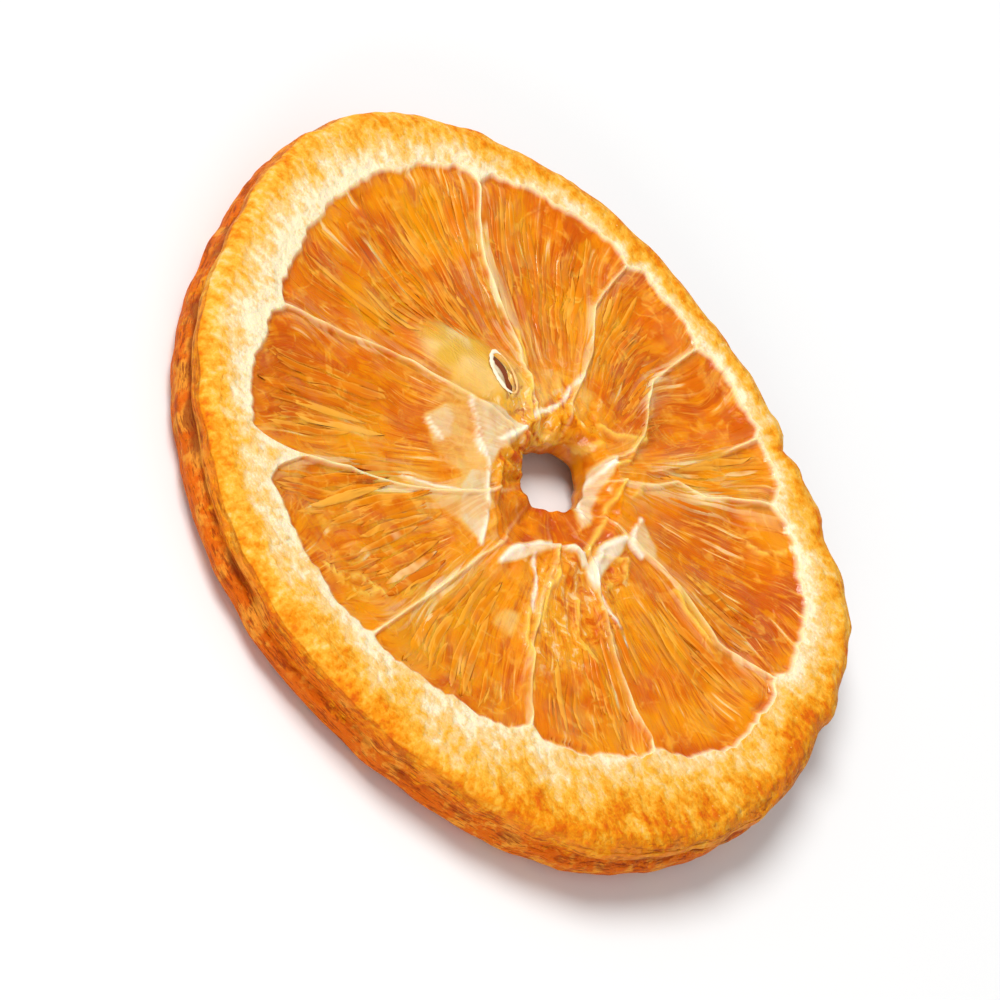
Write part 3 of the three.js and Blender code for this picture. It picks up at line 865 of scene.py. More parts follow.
# %% [markdown]
# ## Nodes written as Python
# Materials and growing things are both small webs of nodes. One helper adds any node by its type,
# with its settings first and then its inputs. A small class wraps a number that varies, so that sums
# and products of masks can be written as ordinary Python.

# %% Node helpers
def add_node(tree, kind, settings=None, inputs=None):
    node = tree.nodes.new(kind)
    for key, value in (settings or {}).items():
        if key == "stops":
            ramp = node.color_ramp
            while len(ramp.elements) < len(value):
                ramp.elements.new(0.5)
            for element, (at, colour) in zip(ramp.elements, value):
                element.position = at
                element.color = (*colour, 1.0)
        else:
            setattr(node, key, value)
    for key, value in (inputs or {}).items():
        value = value.out if isinstance(value, Amount) else value
        if isinstance(value, bpy.types.NodeSocket):
            tree.links.new(value, node.inputs[key])
        else:
            node.inputs[key].default_value = value
    return node


class Amount:
    """A number that varies over the surface; sums and products of it add Math nodes."""

    def __init__(self, tree, out):
        self.tree = tree
        self.out = out

    def maths(self, operation, a, b):
        node = add_node(self.tree, "ShaderNodeMath", {"operation": operation}, {0: a, 1: b})
        return Amount(self.tree, node.outputs[0])

    def __add__(self, other):
        return self.maths("ADD", self, other)

    def __radd__(self, other):
        return self.maths("ADD", other, self)

    def __sub__(self, other):
        return self.maths("SUBTRACT", self, other)

    def __rsub__(self, other):
        return self.maths("SUBTRACT", other, self)

    def __mul__(self, other):
        return self.maths("MULTIPLY", self, other)

    def __rmul__(self, other):
        return self.maths("MULTIPLY", other, self)

    def fade(self, low, high):
        """0 at low and 1 at high, smooth between; low may be the larger."""
        node = add_node(
            self.tree, "ShaderNodeMapRange", {"interpolation_type": "SMOOTHSTEP", "clamp": True},
            {"Value": self, "From Min": low, "From Max": high},
        )
        return Amount(self.tree, node.outputs["Result"])


# %% [markdown]
# ## One tree for everything that grows
# Juice sacs, pith crumbs and torn fibres differ only in size, number and place, so one Geometry Nodes
# tree grows them all. It scatters points where a note on the body allows, lays a small stretched
# ball on each along the grain, keeps a random tone for it, and bends the result with noise so that
# no two are alike. Wet things cling as they dry, so a ray from above then finds the body under every
# point, and the point is set as far above it as the ball is thick there. Real meshes come out,
# because the instances are realized.

# %% Growing tree
GROWN_SIZES = {
    "Geometry": ("Surface",), "String": ("Place",), "Int": ("Seed", "Segments", "Rings"),
    "Float": ("Density", "Length", "Width", "Height", "Sink", "Turn", "Bend", "Bend Scale"),
    "Material": ("Finish",),
}
grow_tree = bpy.data.node_groups.new("grow_on_slice", "GeometryNodeTree")
grow_ids = {}
for kind, labels in GROWN_SIZES.items():
    for label in labels:
        socket = grow_tree.interface.new_socket(label, in_out="INPUT", socket_type="NodeSocket" + kind)
        grow_ids[label] = socket.identifier
grow_tree.interface.new_socket("Grown", in_out="OUTPUT", socket_type="NodeSocketGeometry")


def gn(kind, settings=None, inputs=None):
    return add_node(grow_tree, kind, settings, inputs)


def named(kind, name):
    return gn("GeometryNodeInputNamedAttribute", {"data_type": kind}, {"Name": name}).outputs["Attribute"]


def amount(out):
    return Amount(grow_tree, out)


def joined(x, y, z):
    return gn("ShaderNodeCombineXYZ", {}, {0: x, 1: y, 2: z}).outputs[0]


def apart(vector):
    return gn("ShaderNodeSeparateXYZ", {}, {0: vector}).outputs


def place_now():
    return gn("GeometryNodeInputPosition").outputs[0]


def chance(low, high, seed):
    """A random number for each point or instance."""
    sizes = {"Min": low, "Max": high, "Seed": seed}
    return gn("FunctionNodeRandomValue", {"data_type": "FLOAT"}, sizes).outputs["Value"]


def keep(domain, geometry, name, value):
    """Stores a number on a geometry under a name."""
    return gn("GeometryNodeStoreNamedAttribute", {"data_type": "FLOAT", "domain": domain}, {
        "Geometry": geometry, "Name": name, "Value": value,
    }).outputs["Geometry"]


print("inputs:", list(grow_ids))

# %% Scattering and laying
given = gn("NodeGroupInput").outputs
size = named("FLOAT", "sac_size")
density = amount(given["Density"]) * named("FLOAT", given["Place"])
scatter = gn("GeometryNodeDistributePointsOnFaces", {"distribute_method": "RANDOM"}, {
    "Mesh": given["Surface"], "Density": density, "Seed": given["Seed"],
})
ball = gn("GeometryNodeMeshUVSphere", {}, {
    "Segments": given["Segments"], "Rings": given["Rings"], "Radius": 1.0,
})
crowned = keep("POINT", ball.outputs["Mesh"], "crown", apart(place_now())["Z"])
upright = gn("FunctionNodeAlignRotationToVector", {"axis": "Z"}, {"Vector": scatter.outputs["Normal"]})
laid = gn("FunctionNodeAlignRotationToVector", {"axis": "X", "pivot_axis": "Z"}, {
    "Rotation": upright.outputs[0], "Vector": named("FLOAT_VECTOR", "lie"),
})
swing = amount(chance(-1.0, 1.0, 21)) * given["Turn"]
spin = gn("FunctionNodeEulerToRotation", {}, {0: joined(0.0, 0.0, swing)})
turned = gn("FunctionNodeRotateRotation", {"rotation_space": "LOCAL"}, {
    0: laid.outputs[0], 1: spin.outputs[0],
})
half_size = amount(chance(0.6, 1.35, 5)) * size * 0.5
thick = half_size * given["Height"]
laid_out = gn("GeometryNodeInstanceOnPoints", {}, {
    "Points": keep("POINT", scatter.outputs["Points"], "thick", thick), "Instance": crowned,
    "Rotation": turned.outputs[0],
    "Scale": joined(half_size * given["Length"], half_size * given["Width"], thick),
})
toned = keep("INSTANCE", laid_out.outputs[0], "tone", chance(0.0, 1.0, 9))
real = gn("GeometryNodeRealizeInstances", {}, {0: toned})
print("so far", len(grow_tree.nodes), "nodes")

# %% Bending and letting down
bend_noise = gn("ShaderNodeTexNoise", {}, {
    "Vector": place_now(), "Scale": given["Bend Scale"], "Detail": 1.0,
})
centred = gn("ShaderNodeVectorMath", {"operation": "SUBTRACT"}, {
    0: bend_noise.outputs["Color"], 1: (0.5, 0.5, 0.5),
})
bend = amount(given["Bend"])
offset = gn("ShaderNodeVectorMath", {"operation": "MULTIPLY"}, {
    0: centred.outputs[0], 1: joined(bend, bend, bend * 0.3),
})
moved = gn("GeometryNodeSetPosition", {}, {"Geometry": real.outputs[0], "Offset": offset.outputs[0]})
now_at = apart(place_now())
found = gn("GeometryNodeRaycast", {}, {
    "Target Geometry": given["Surface"], "Ray Direction": (0.0, 0.0, -1.0), "Ray Length": 0.1,
    "Source Position": joined(now_at[0], now_at[1], 0.02),
}).outputs["Hit Position"]
above = amount(named("FLOAT", "crown")) * named("FLOAT", "thick") - given["Sink"]
hugged = gn("GeometryNodeSetPosition", {}, {
    "Geometry": moved.outputs[0], "Position": joined(now_at[0], now_at[1], above + apart(found)["Z"]),
})
smooth = gn("GeometryNodeSetShadeSmooth", {}, {"Geometry": hugged.outputs[0]})
finished = gn("GeometryNodeSetMaterial", {}, {"Geometry": smooth.outputs[0], "Material": given["Finish"]})
gn("NodeGroupOutput", {}, {"Grown": finished.outputs[0]})
print("growing tree:", len(grow_tree.nodes), "nodes")


# %% Growing one kind of thing
def grow(name, material, **sizes):
    """Grows one kind of thing on the body and returns it as a plain mesh object."""
    thing = put(name, body.data.copy())
    modifier = thing.modifiers.new("grow", "NODES")
    modifier.node_group = grow_tree
    for label, value in sizes.items():
        modifier[grow_ids[label.replace("_", " ")]] = value
    modifier[grow_ids["Finish"]] = material
    graph = bpy.context.evaluated_depsgraph_get()
    grown = bpy.data.meshes.new_from_object(
        thing.evaluated_get(graph), preserve_all_data_layers=True, depsgraph=graph)
    spots = np.empty(3 * len(grown.vertices))
    grown.vertices.foreach_get("co", spots)
    spots[2::3] = held_down(spots[2::3] / MM, GROWN_TOP) * MM
    grown.vertices.foreach_set("co", spots)
    thing.modifiers.remove(modifier)
    thing.data = grown
    grown.name = name
    print(name, len(grown.vertices), "points", 2 * len(grown.polygons), "triangles at most")
    return thing


# %% [markdown]
# ## Writing a finish
# A finish is a material with a name. Its helpers bring in the notes stored on the mesh, noise and
# cells of a chosen size, blends between colours, and fine relief. Colours are written as they look
# on a screen and turned into the light they stand for.

# %% Finish helper
def srgb(r, g, b):
    parts = (r / 255, g / 255, b / 255)
    return tuple(v / 12.92 if v <= 0.04045 else ((v + 0.055) / 1.055) ** 2.4 for v in parts)


class Finish:
    """A material and the means to write it."""

    def __init__(self, name):
        self.material = bpy.data.materials.new(name)
        self.material.use_nodes = True
        self.tree = self.material.node_tree
        self.tree.nodes.clear()
        self.place = add_node(self.tree, "ShaderNodeTexCoord").outputs["Object"]

    def noted(self, name):
        node = add_node(self.tree, "ShaderNodeAttribute", {"attribute_name": name})
        return Amount(self.tree, node.outputs["Fac"])

    def noted_vector(self, name):
        return add_node(self.tree, "ShaderNodeAttribute", {"attribute_name": name}).outputs["Vector"]

    def stretch(self, vector, scale):
        return add_node(self.tree, "ShaderNodeMapping", {}, {"Vector": vector, "Scale": scale}).outputs[0]

    def noise(self, vector, scale, detail=3.0, roughness=0.55, warp=0.0):
        node = add_node(self.tree, "ShaderNodeTexNoise", {}, {
            "Vector": vector, "Scale": scale, "Detail": detail, "Roughness": roughness, "Distortion": warp,
        })
        return Amount(self.tree, node.outputs[0])

    def cells(self, vector, scale, feature="F1"):
        node = add_node(self.tree, "ShaderNodeTexVoronoi", {"feature": feature}, {
            "Vector": vector, "Scale": scale,
        })
        return Amount(self.tree, node.outputs["Distance"])

    def blend(self, share, first, second):
        first = (*first, 1.0) if isinstance(first, tuple) else first
        second = (*second, 1.0) if isinstance(second, tuple) else second
        node = add_node(self.tree, "ShaderNodeMix", {"data_type": "RGBA"}, {0: share, 6: first, 7: second})
        return node.outputs[2]

    def coats(self, colour, *layers):
        """Lays layers over a colour, one after the other: each a share and its colour."""
        for share, layer in layers:
            colour = self.blend(share, colour, layer)
        return colour

    def ramp(self, share, stops):
        return add_node(self.tree, "ShaderNodeValToRGB", {"stops": stops}, {"Fac": share}).outputs[0]

    def bump(self, height, deep_mm, strength=1.0):
        node = add_node(self.tree, "ShaderNodeBump", {}, {
            "Height": height, "Distance": deep_mm * MM, "Strength": strength,
        })
        return node.outputs[0]

    def surface(self, inputs):
        settings = {"subsurface_method": "RANDOM_WALK"}
        shader = add_node(self.tree, "ShaderNodeBsdfPrincipled", settings, inputs)
        out = add_node(self.tree, "ShaderNodeOutputMaterial")
        self.tree.links.new(shader.outputs[0], out.inputs["Surface"])
        return self.material


# %% [markdown]
# ## Finish of the flesh
# Dried flesh is glassy: light goes in, turns amber and comes out a little further on, which
# subsurface scattering does. Its colour drifts from deep orange to gold, and thin pale lines run
# through it in bundles along the grain: partly the walls of the juice sacs, partly painted highlights
# on them, with painted glints along fine wrinkles. The same colours are used for the sacs further on,
# so they are written once, as a function. Over them, as coats, lie painted shade low in the hollow by
# the core, the blister, the crumpled gold by the core with painted glints on its raised crinkles and
# painted shade in its low ones, the films with their folds, and the pale skins.

# %% Colours of the flesh
DEEP_AMBER = srgb(200, 86, 0)
AMBER = srgb(221, 113, 0)
GOLD = srgb(234, 147, 0)
PEACH = srgb(242, 174, 62)
CREAM = srgb(250, 226, 176)
GOLD_SKIN = srgb(220, 174, 66)
TISSUE_GOLD = srgb(240, 172, 40)
RED_AMBER = srgb(180, 60, 0)
FOLD_GOLD = srgb(246, 196, 84)
FILM_GOLD = srgb(234, 184, 84)
FILM_WHITE = srgb(222, 200, 160)
FILM_BRIGHT = srgb(248, 238, 214)


def flesh_colour(finish):
    grain_at = finish.noted_vector("grain")
    streaky = finish.noted("streaky")
    patches = finish.noise(finish.place, 130, 3)
    blots = finish.noise(finish.place, 620, 3, 0.6)
    streak = finish.noise(grain_at, 1.0, 2, 0.5)
    fine = finish.noise(finish.stretch(grain_at, (2.6, 2.6, 0.7)), 1.0, 2, 0.5)
    fine = fine * streaky + blots * (1 - streaky)
    thin = finish.stretch(grain_at, (1.7, 1.7, 0.5))
    lines = finish.cells(thin, 1.0, "DISTANCE_TO_EDGE").fade(0.05, 0.0)
    bundles = finish.noise(finish.place, 200, 2).fade(0.46, 0.6)
    straw = finish.noise(finish.stretch(grain_at, (1.8, 1.8, 0.32)), 1.0, 2, 0.5, 0.3)
    # Painted highlights: thin pale lines along fine wrinkles, which also raise the bump a little.
    wavy = finish.noise(finish.place, 250, 2, 0.5, 1.2)
    wrinkle_glints = wavy.fade(0.44, 0.5) * wavy.fade(0.56, 0.5)
    in_bundles = bundles * streaky
    # Pale peach and cream lines in bundles along the grain: partly the walls of the juice sacs, partly
    # painted highlights on them. The fine noise that places them also raises the bump.
    colour = finish.coats(
        DEEP_AMBER,
        (patches.fade(0.36, 0.56), AMBER),
        (patches.fade(0.5, 0.64) * 0.75, GOLD),
        (streak.fade(0.5, 0.68) * 0.6, GOLD),
        (blots.fade(0.55, 0.7) * 0.4, GOLD),
        (finish.noted("golden") * blots.fade(0.3, 0.55) * 0.7, GOLD),
        (fine.fade(0.44, 0.3) * 0.6, DEEP_AMBER),
        (straw.fade(0.47, 0.38) * in_bundles * 0.5, RED_AMBER),
        (straw.fade(0.55, 0.63) * in_bundles * 0.6, PEACH),
        (straw.fade(0.62, 0.68) * in_bundles * 0.5, CREAM),
        (fine.fade(0.58, 0.7) * bundles * 0.5, PEACH),
        (lines * in_bundles * 0.3, PEACH),
        (wrinkle_glints * blots.fade(0.45, 0.6) * 0.45, PEACH),
    )
    return colour, fine + wrinkle_glints * 0.2


# %% Finish of the flesh
flesh = Finish("dried_flesh")
colour, fine = flesh_colour(flesh)
cloud = flesh.noise(flesh.place, 420, 3)
pale_streak = flesh.noise(flesh.stretch(flesh.noted_vector("grain"), (1.6, 1.6, 0.4)), 1.0, 2, 0.5)
sheen = flesh.noise(flesh.place, 190, 2)
crinkle = flesh.noise(flesh.place, 700, 3, 0.6, 0.8)
thinner = flesh.noise(flesh.place, 420, 4, 0.6)
thicker = 0.15 * pale_streak.fade(0.44, 0.58) + 0.6 * thinner.fade(0.38, 0.62)
blistered, by_skins, crumpled, filmy = (flesh.noted(name) for name in ("gold", "by_skin", "tissue", "film"))
bright_part = sheen.fade(0.42, 0.58) * 0.5 + pale_streak.fade(0.5, 0.62) * 0.12
colour = flesh.coats(
    colour,
    # Painted shade in the hollow, darker the lower the flesh lies.
    (flesh.noted("deep") * cloud.fade(0.3, 0.6) * 0.8, RED_AMBER),
    (blistered * 0.92, GOLD_SKIN),
    (blistered * sheen.fade(0.5, 0.66) * 0.4, CREAM),
    (blistered * sheen.fade(0.5, 0.34) * 0.6, GOLD),
    (by_skins * cloud.fade(0.3, 0.55), GOLD_SKIN),
    (by_skins * pale_streak.fade(0.48, 0.6), CREAM),
    (crumpled * crinkle.fade(0.42, 0.56) * 0.9, TISSUE_GOLD),
    # The crinkle noise also raises the tissue's bump: painted shade in its low crinkles, painted glints on
    # its raised ones.
    (crumpled * crinkle.fade(0.45, 0.36) * 0.7, RED_AMBER),
    (crumpled * crinkle.fade(0.58, 0.66) * 0.8, CREAM),
    (flesh.noted("gold_fold") * cloud.fade(0.3, 0.5) * 0.85, FOLD_GOLD),
    (filmy.fade(0.05, 0.5) * (0.3 + 0.7 * thicker), FILM_GOLD),
    (filmy.fade(0.35, 1.0) * (0.5 + 0.6 * thicker), FILM_WHITE),
    (filmy * filmy * filmy * filmy * bright_part, FILM_BRIGHT),
    (flesh.noted("white_fold") * cloud.fade(0.3, 0.5) * 0.9, FILM_BRIGHT),
    (flesh.noted("skin") * 0.95, CREAM),
)
flesh_material = flesh.surface({
    "Base Color": colour,
    "Roughness": 0.2 + 0.2 * fine,
    "Normal": flesh.bump(fine * (1 - 0.6 * filmy) + crinkle * crumpled * 1.5 + thinner * filmy, 0.25, 0.6),
    "Subsurface Weight": 0.6,
    "Subsurface Radius": (1.0, 0.4, 0.05),
    "Subsurface Scale": 1.2 * MM,
    "Specular IOR Level": 0.13,
    "Coat Weight": flesh.noise(flesh.place, 420, 3).fade(0.5, 0.6) * 0.6,
    "Coat Roughness": 0.1,
})
body.data.materials.append(flesh_material)
print("flesh finish:", len(flesh.tree.nodes), "nodes")

# %% [markdown]
# ## Finish of the peel
# One finish covers the pith and the rind, because on the real slice one turns into the other: white
# at the inner edge, cream, then gold where the oil glands begin, then orange at the outer skin, and
# darker orange with brown streaks down the side. The stored band says how far along that is; it
# grows on down the side, so the side is painted darker towards the bottom as shade, and the groove
# and wrinkles get painted shade too.

# %% Peel
PITH_WHITE = srgb(250, 230, 190)
PITH_CREAM = srgb(242, 204, 138)
PITH_GOLD = srgb(242, 178, 58)
RIND_ORANGE = srgb(232, 144, 10)
RIND_DEEP = srgb(216, 100, 0)
RIND_BROWN = srgb(132, 38, 0)
RIND_PALE = srgb(248, 182, 62)

peel = Finish("dried_peel")
across_band = peel.noted("band")
soft = peel.noise(peel.place, 380, 4)
mottle = peel.noise(peel.place, 1500, 3, 0.6)
broad = peel.noise(peel.place, 110, 2)
glands = peel.cells(peel.place, 1000)
level = across_band + (soft - 0.5) * 1.5 + (mottle - 0.5) * 1.4 + (broad - 0.5) * 0.8 + 0.08
colour = peel.ramp(level * 0.5, [
    (0.0, PITH_WHITE), (0.14, PITH_CREAM), (0.33, PITH_GOLD), (0.5, RIND_ORANGE), (0.66, RIND_DEEP),
])
on_side = across_band.fade(0.9, 1.2)
streaks = peel.noise(peel.noted_vector("side_way"), 1.0, 4, 0.6)
short_streaks = peel.noise(peel.stretch(peel.noted_vector("side_way"), (2.2, 2.2, 2.6)), 1.0, 3, 0.6)
# Painted shade: browner along the groove and the wrinkles, by their depth.
crease_shade = peel.noted("fold") + (soft - 0.5) * 1.6
colour = peel.coats(
    colour,
    (on_side * (soft * 0.7 + mottle * 0.3).fade(0.48, 0.6) * 0.5, RIND_PALE),
    (on_side * streaks.fade(0.53, 0.64) * 0.55, RIND_BROWN),
    (on_side * short_streaks.fade(0.55, 0.63) * 0.65, RIND_BROWN),
    (on_side * crease_shade.fade(0.5, 1.1) * 0.7, RIND_BROWN),
)
peel_height = mottle * 0.6 + soft * 0.4 - glands * 0.4 - (streaks + short_streaks * 0.6) * on_side
peel_material = peel.surface({
    "Base Color": colour,
    "Roughness": 0.42 + 0.25 * mottle,
    "Normal": peel.bump(peel_height, 0.5, 0.9),
    "Subsurface Weight": 0.35,
    "Subsurface Radius": (1.0, 0.45, 0.15),
    "Subsurface Scale": 1.2 * MM,
    "Specular IOR Level": 0.1,
})
body.data.materials.append(peel_material)
body.data.polygons.foreach_set("material_index", is_peel.astype(int))
print("peel finish:", len(peel.tree.nodes), "nodes")

# %% [markdown]
# ## Juice sacs
# The flesh of an orange is packed with slim sacs of juice. Dried, they lie flattened over each other
# like wet straw: glassy amber, each a shade of its own, with a paler wall along its edge. They are
# grown along the grain, low and broad, in bundles with bare flesh between.

# %% Sacs
sac = Finish("juice_sac")
colour, fine = flesh_colour(sac)
crown, tone = sac.noted("crown"), sac.noted("tone")
colour = sac.coats(
    colour,
    (tone.fade(0.55, 1.0) * 0.25, GOLD),
    (tone.fade(0.8, 0.95) * fine.fade(0.35, 0.6) * 0.7, PEACH),
    (tone.fade(0.35, 0.0) * 0.2, DEEP_AMBER),
    # Painted shade: each sac is darker red along its lower flanks, where it meets the flesh.
    (crown.fade(0.5, 0.1) * 0.2, RED_AMBER),
    (crown.fade(0.86, 0.6) * crown.fade(0.3, 0.55) * fine.fade(0.4, 0.6) * 0.5, PEACH),
)
sac_material = sac.surface({
    "Base Color": colour,
    "Roughness": 0.2 + 0.2 * fine,
    "Normal": sac.bump(fine, 0.15, 0.5),
    "Specular IOR Level": 0.13,
    "Coat Weight": sac.noise(sac.place, 420, 3).fade(0.5, 0.6) * 0.6,
    "Coat Roughness": 0.1,
})
sacs = grow(
    "juice_sacs", sac_material, Place="sac_room", Density=800000.0, Seed=11, Segments=8, Rings=6,
    Length=7.4 * MM, Width=0.62 * MM, Height=0.19 * MM, Sink=0.04 * MM, Turn=0.05, Bend=1.5 * MM,
    Bend_Scale=240.0,
)

# %% [markdown]
# ## Crumbs and fibres of the pith
# Pith is a dry sponge. Torn by the knife, it leaves small crumbs on its face and fine white fibres
# along the edge where it meets the flesh. The same tree grows both, much smaller.

# %% Crumbs and fibres
crumb = Finish("pith_crumb")
crumb_cloud = crumb.noise(crumb.place, 900, 2)
colour = crumb.blend(crumb.noted("tone") * 0.6 + crumb_cloud * 0.4, PITH_GOLD, srgb(248, 222, 172))
crumb_material = crumb.surface({
    "Base Color": colour,
    "Roughness": 0.5 + 0.2 * crumb_cloud,
    "Normal": crumb.bump(crumb_cloud, 0.1, 0.5),
    "Specular IOR Level": 0.3,
})
crumbs = grow(
    "pith_crumbs", crumb_material, Place="pith_room", Density=600000.0, Seed=4, Segments=6, Rings=4,
    Length=0.6 * MM, Width=0.42 * MM, Height=0.24 * MM, Sink=0.02 * MM, Turn=3.1, Bend=0.3 * MM,
    Bend_Scale=1500.0,
)
fibres = grow(
    "pith_fibres", crumb_material, Place="edge_room", Density=450000.0, Seed=8, Segments=6, Rings=6,
    Length=1.5 * MM, Width=0.16 * MM, Height=0.2 * MM, Sink=0.0, Turn=1.5, Bend=1.4 * MM,
    Bend_Scale=700.0,
)

# %% [markdown]
# ## Draping thin things on the body
# The seed and the lip of its slit lie on the blister. The lip is draped: a ray dropped from above
# finds the body, and a strip is kept just clear of it. Places are written as they show on the rim's
# plane; a thing that lies lower shows nearer to the camera than it is, so seen() moves it back by
# the slope of the view.

# %% Draping
body_tree = BVHTree.FromPolygons(points.tolist(), faces.tolist())
DOWN = Vector((0, 0, -1))
DROPPED_FROM = 20.0


def seen(x, y, z):
    """The place, in the frame, of a thing that shows at x, y of the rim's plane and lies at height z."""
    x, y = on_plan(x, y, z)
    return (x - middle[0], y - middle[1], z)


def ground_under(spots):
    hits = [body_tree.ray_cast(Vector((x, y, DROPPED_FROM)), DOWN)[0] for x, y, _ in spots]
    return np.array([hit.z if hit else 0.0 for hit in hits])


def drape(spots, lift):
    spots[:, 2] = np.maximum(spots[:, 2], ground_under(spots) + lift)
    return spots


def through(knots, steps):
    """A smooth curve through the knots."""
    knots = np.array(knots, float)
    last = len(knots) - 1
    s = np.linspace(0, last, steps)
    i = np.minimum(s.astype(int), last - 1)
    return spline(*(knots[np.clip(i + k, 0, last)] for k in (-1, 0, 1, 2)), (s - i)[:, None])


SIDES = 8


def strip(path, width, thick, lift):
    """A flat strip along a path, swaying and uneven, and thin at its ends: its points and faces."""
    steps = 20 + 12 * len(path)
    line = drape(through([seen(*c) for c in path], steps), lift)
    ahead = np.gradient(line, axis=0)
    ahead /= np.linalg.norm(ahead, axis=1)[:, None]
    across = np.cross(ahead, [0, 0, 1.0])
    across /= np.linalg.norm(across, axis=1)[:, None]
    raised = np.cross(across, ahead)
    step = np.arange(steps)
    tilt = np.radians(25 * noise(step / 9.0, line[0][0], 1.0))[:, None]
    flat_way = np.cos(tilt) * across + np.sin(tilt) * raised
    thin_way = -np.sin(tilt) * across + np.cos(tilt) * raised
    ends = np.sqrt(np.sin(np.pi * np.clip((step + 0.3) / (steps - 0.4), 0, 1)))
    uneven = 1 + 0.2 * noise(step / 3.0, line[0][1], 3.0) + 0.35 * noise(step / 8.0, line[0][0], 7.0)
    flat_half = flat_way * (ends * uneven)[:, None] * width / 2
    thin_half = thin_way * (ends * uneven)[:, None] * thick / 2
    turns = [math.tau * k / SIDES for k in range(SIDES)]
    verts = np.stack([line + flat_half * math.cos(w) + thin_half * math.sin(w) for w in turns], 1)
    rounds = np.arange(steps * SIDES).reshape(steps, SIDES)
    here, there = rounds[:-1], rounds[1:]
    faces = np.stack([here, there, np.roll(there, -1, 1), np.roll(here, -1, 1)], -1).reshape(-1, 4)
    return verts.reshape(-1, 3), [*faces, rounds[0], rounds[-1][::-1]]


def gathered(name, material, bits):
    """One object of several bits, each its points, its faces, its tint and how bright it is."""
    verts, faces, notes = [], [], []
    for bit_verts, bit_faces, tint, bright in bits:
        faces += [[len(verts) + int(i) for i in face] for face in bit_faces]
        verts += [tuple(v) for v in bit_verts]
        notes += [(tint, bright)] * len(bit_verts)
    verts = np.array(verts)
    verts[:, 2] = held_down(verts[:, 2], GROWN_TOP)
    thing = plain_mesh(name, verts, faces)
    shape = bmesh.new()
    shape.from_mesh(thing.data)
    bmesh.ops.recalc_face_normals(shape, faces=shape.faces)
    shape.to_mesh(thing.data)
    shape.free()
    for key, values in zip(("tint", "bright"), zip(*notes)):
        store(thing.data, key, values)
    thing.data.materials.append(material)
    print(name, len(verts), "points")
    return thing


print("slit floor at", round(float(ground_under([seen(*SLIT_CENTRE, RIM_HEIGHT)])[0]), 2), "mm")

# %% [markdown]
# ## Finish of the slit's lip
# Where the blister's film has split, its edge has dried hard, cream on the near side and golden on
# the far one. One finish makes both: the stored tint says how golden a strip is.

# %% Lip finish
LIP_CREAM = srgb(246, 232, 198)
LIP_GOLD = srgb(238, 166, 30)
LIP_BRIGHT = srgb(254, 240, 216)

split_film = Finish("split_film")
cloud = split_film.noise(split_film.place, 700, 3)
colour = split_film.coats(
    LIP_CREAM,
    (split_film.noted("tint"), LIP_GOLD),
    (split_film.noted("bright") * 0.7, LIP_BRIGHT),
    (cloud.fade(0.55, 0.75) * 0.3, GOLD_SKIN),
)
lip_material = split_film.surface({
    "Base Color": colour,
    "Roughness": 0.3 + 0.25 * cloud,
    "Normal": split_film.bump(cloud, 0.1, 0.5),
    "Specular IOR Level": 0.35,
})
print("lip finish:", len(split_film.tree.nodes), "nodes")

# %% [markdown]
# ## The seed's slit
# A flat seed lies under the blister's thin film, which has split along it. The slit is an almond:
# a cream lip round it, a dark brown disc inside as painted shade in its hollow, and the seed's pale
# side showing at the bottom.

# %% Slit
DOME_STEPS, DOME_BANDS = 24, 5


def by_slit(u, v):
    """A place u along the slit and v across it, on the rim's plane."""
    c, s = math.cos(math.radians(SLIT_TURN)), math.sin(math.radians(SLIT_TURN))
    return SLIT_CENTRE[0] + u * c - v * s, SLIT_CENTRE[1] + u * s + v * c, RIM_HEIGHT


def almond(long_half, wide_half, height, lift, shift=0.0):
    """A low pointed dome on the slit's place, with its under side closed."""
    verts = []
    for k in range(DOME_BANDS + 1):
        size = 1 - k / DOME_BANDS
        for i in range(DOME_STEPS):
            c, s = math.cos(math.tau * i / DOME_STEPS), math.sin(math.tau * i / DOME_STEPS)
            u, v = long_half * size * c, wide_half * size * s * abs(s) ** 0.4 + shift
            x, y, _ = seen(*by_slit(u, v))
            verts.append((x, y, lift + height * (1 - size * size)))
    bands = np.arange(len(verts)).reshape(DOME_BANDS + 1, DOME_STEPS)
    low, high = bands[:-1], bands[1:]
    faces = np.stack([low, np.roll(low, -1, 1), np.roll(high, -1, 1), high], -1).reshape(-1, 4)
    return verts, [*faces, bands[0][::-1], bands[-1]]


slit_height = float(ground_under([seen(*SLIT_CENTRE, RIM_HEIGHT)])[0])
# Painted shade: a dark brown disc with darker blotches fills the slit's hollow round the seed.
SLIT_BROWN = srgb(128, 54, 8)
SLIT_DARK = srgb(92, 46, 12)
SEED_PALE = srgb(206, 184, 142)

seed_finish = Finish("seed_and_slit")
seed_cloud = seed_finish.noise(seed_finish.stretch(seed_finish.place, (1.0, 2.4, 1.0)), 900, 3)
colour = seed_finish.coats(
    SLIT_BROWN, (seed_finish.noted("tint"), SEED_PALE), (seed_cloud.fade(0.5, 0.7) * 0.4, SLIT_DARK),
)
seed_material = seed_finish.surface({
    "Base Color": colour,
    "Roughness": 0.25 + 0.2 * seed_cloud,
    "Normal": seed_finish.bump(seed_cloud, 0.15, 0.6),
    "Specular IOR Level": 0.5,
})
SEED_AT = slit_height + 0.34
seed = gathered("seed_in_slit", seed_material, [
    (*almond(1.95, 0.9, height=0.12, lift=SEED_AT), 0.0, 0.0),
    (*almond(1.3, 0.36, height=0.3, lift=SEED_AT, shift=-0.2), 1.0, 0.0),
])
LIP_HALF, LIP_THICK, LIP_LIFT = (2.05, 1.0), 0.24, 0.12
lips = []
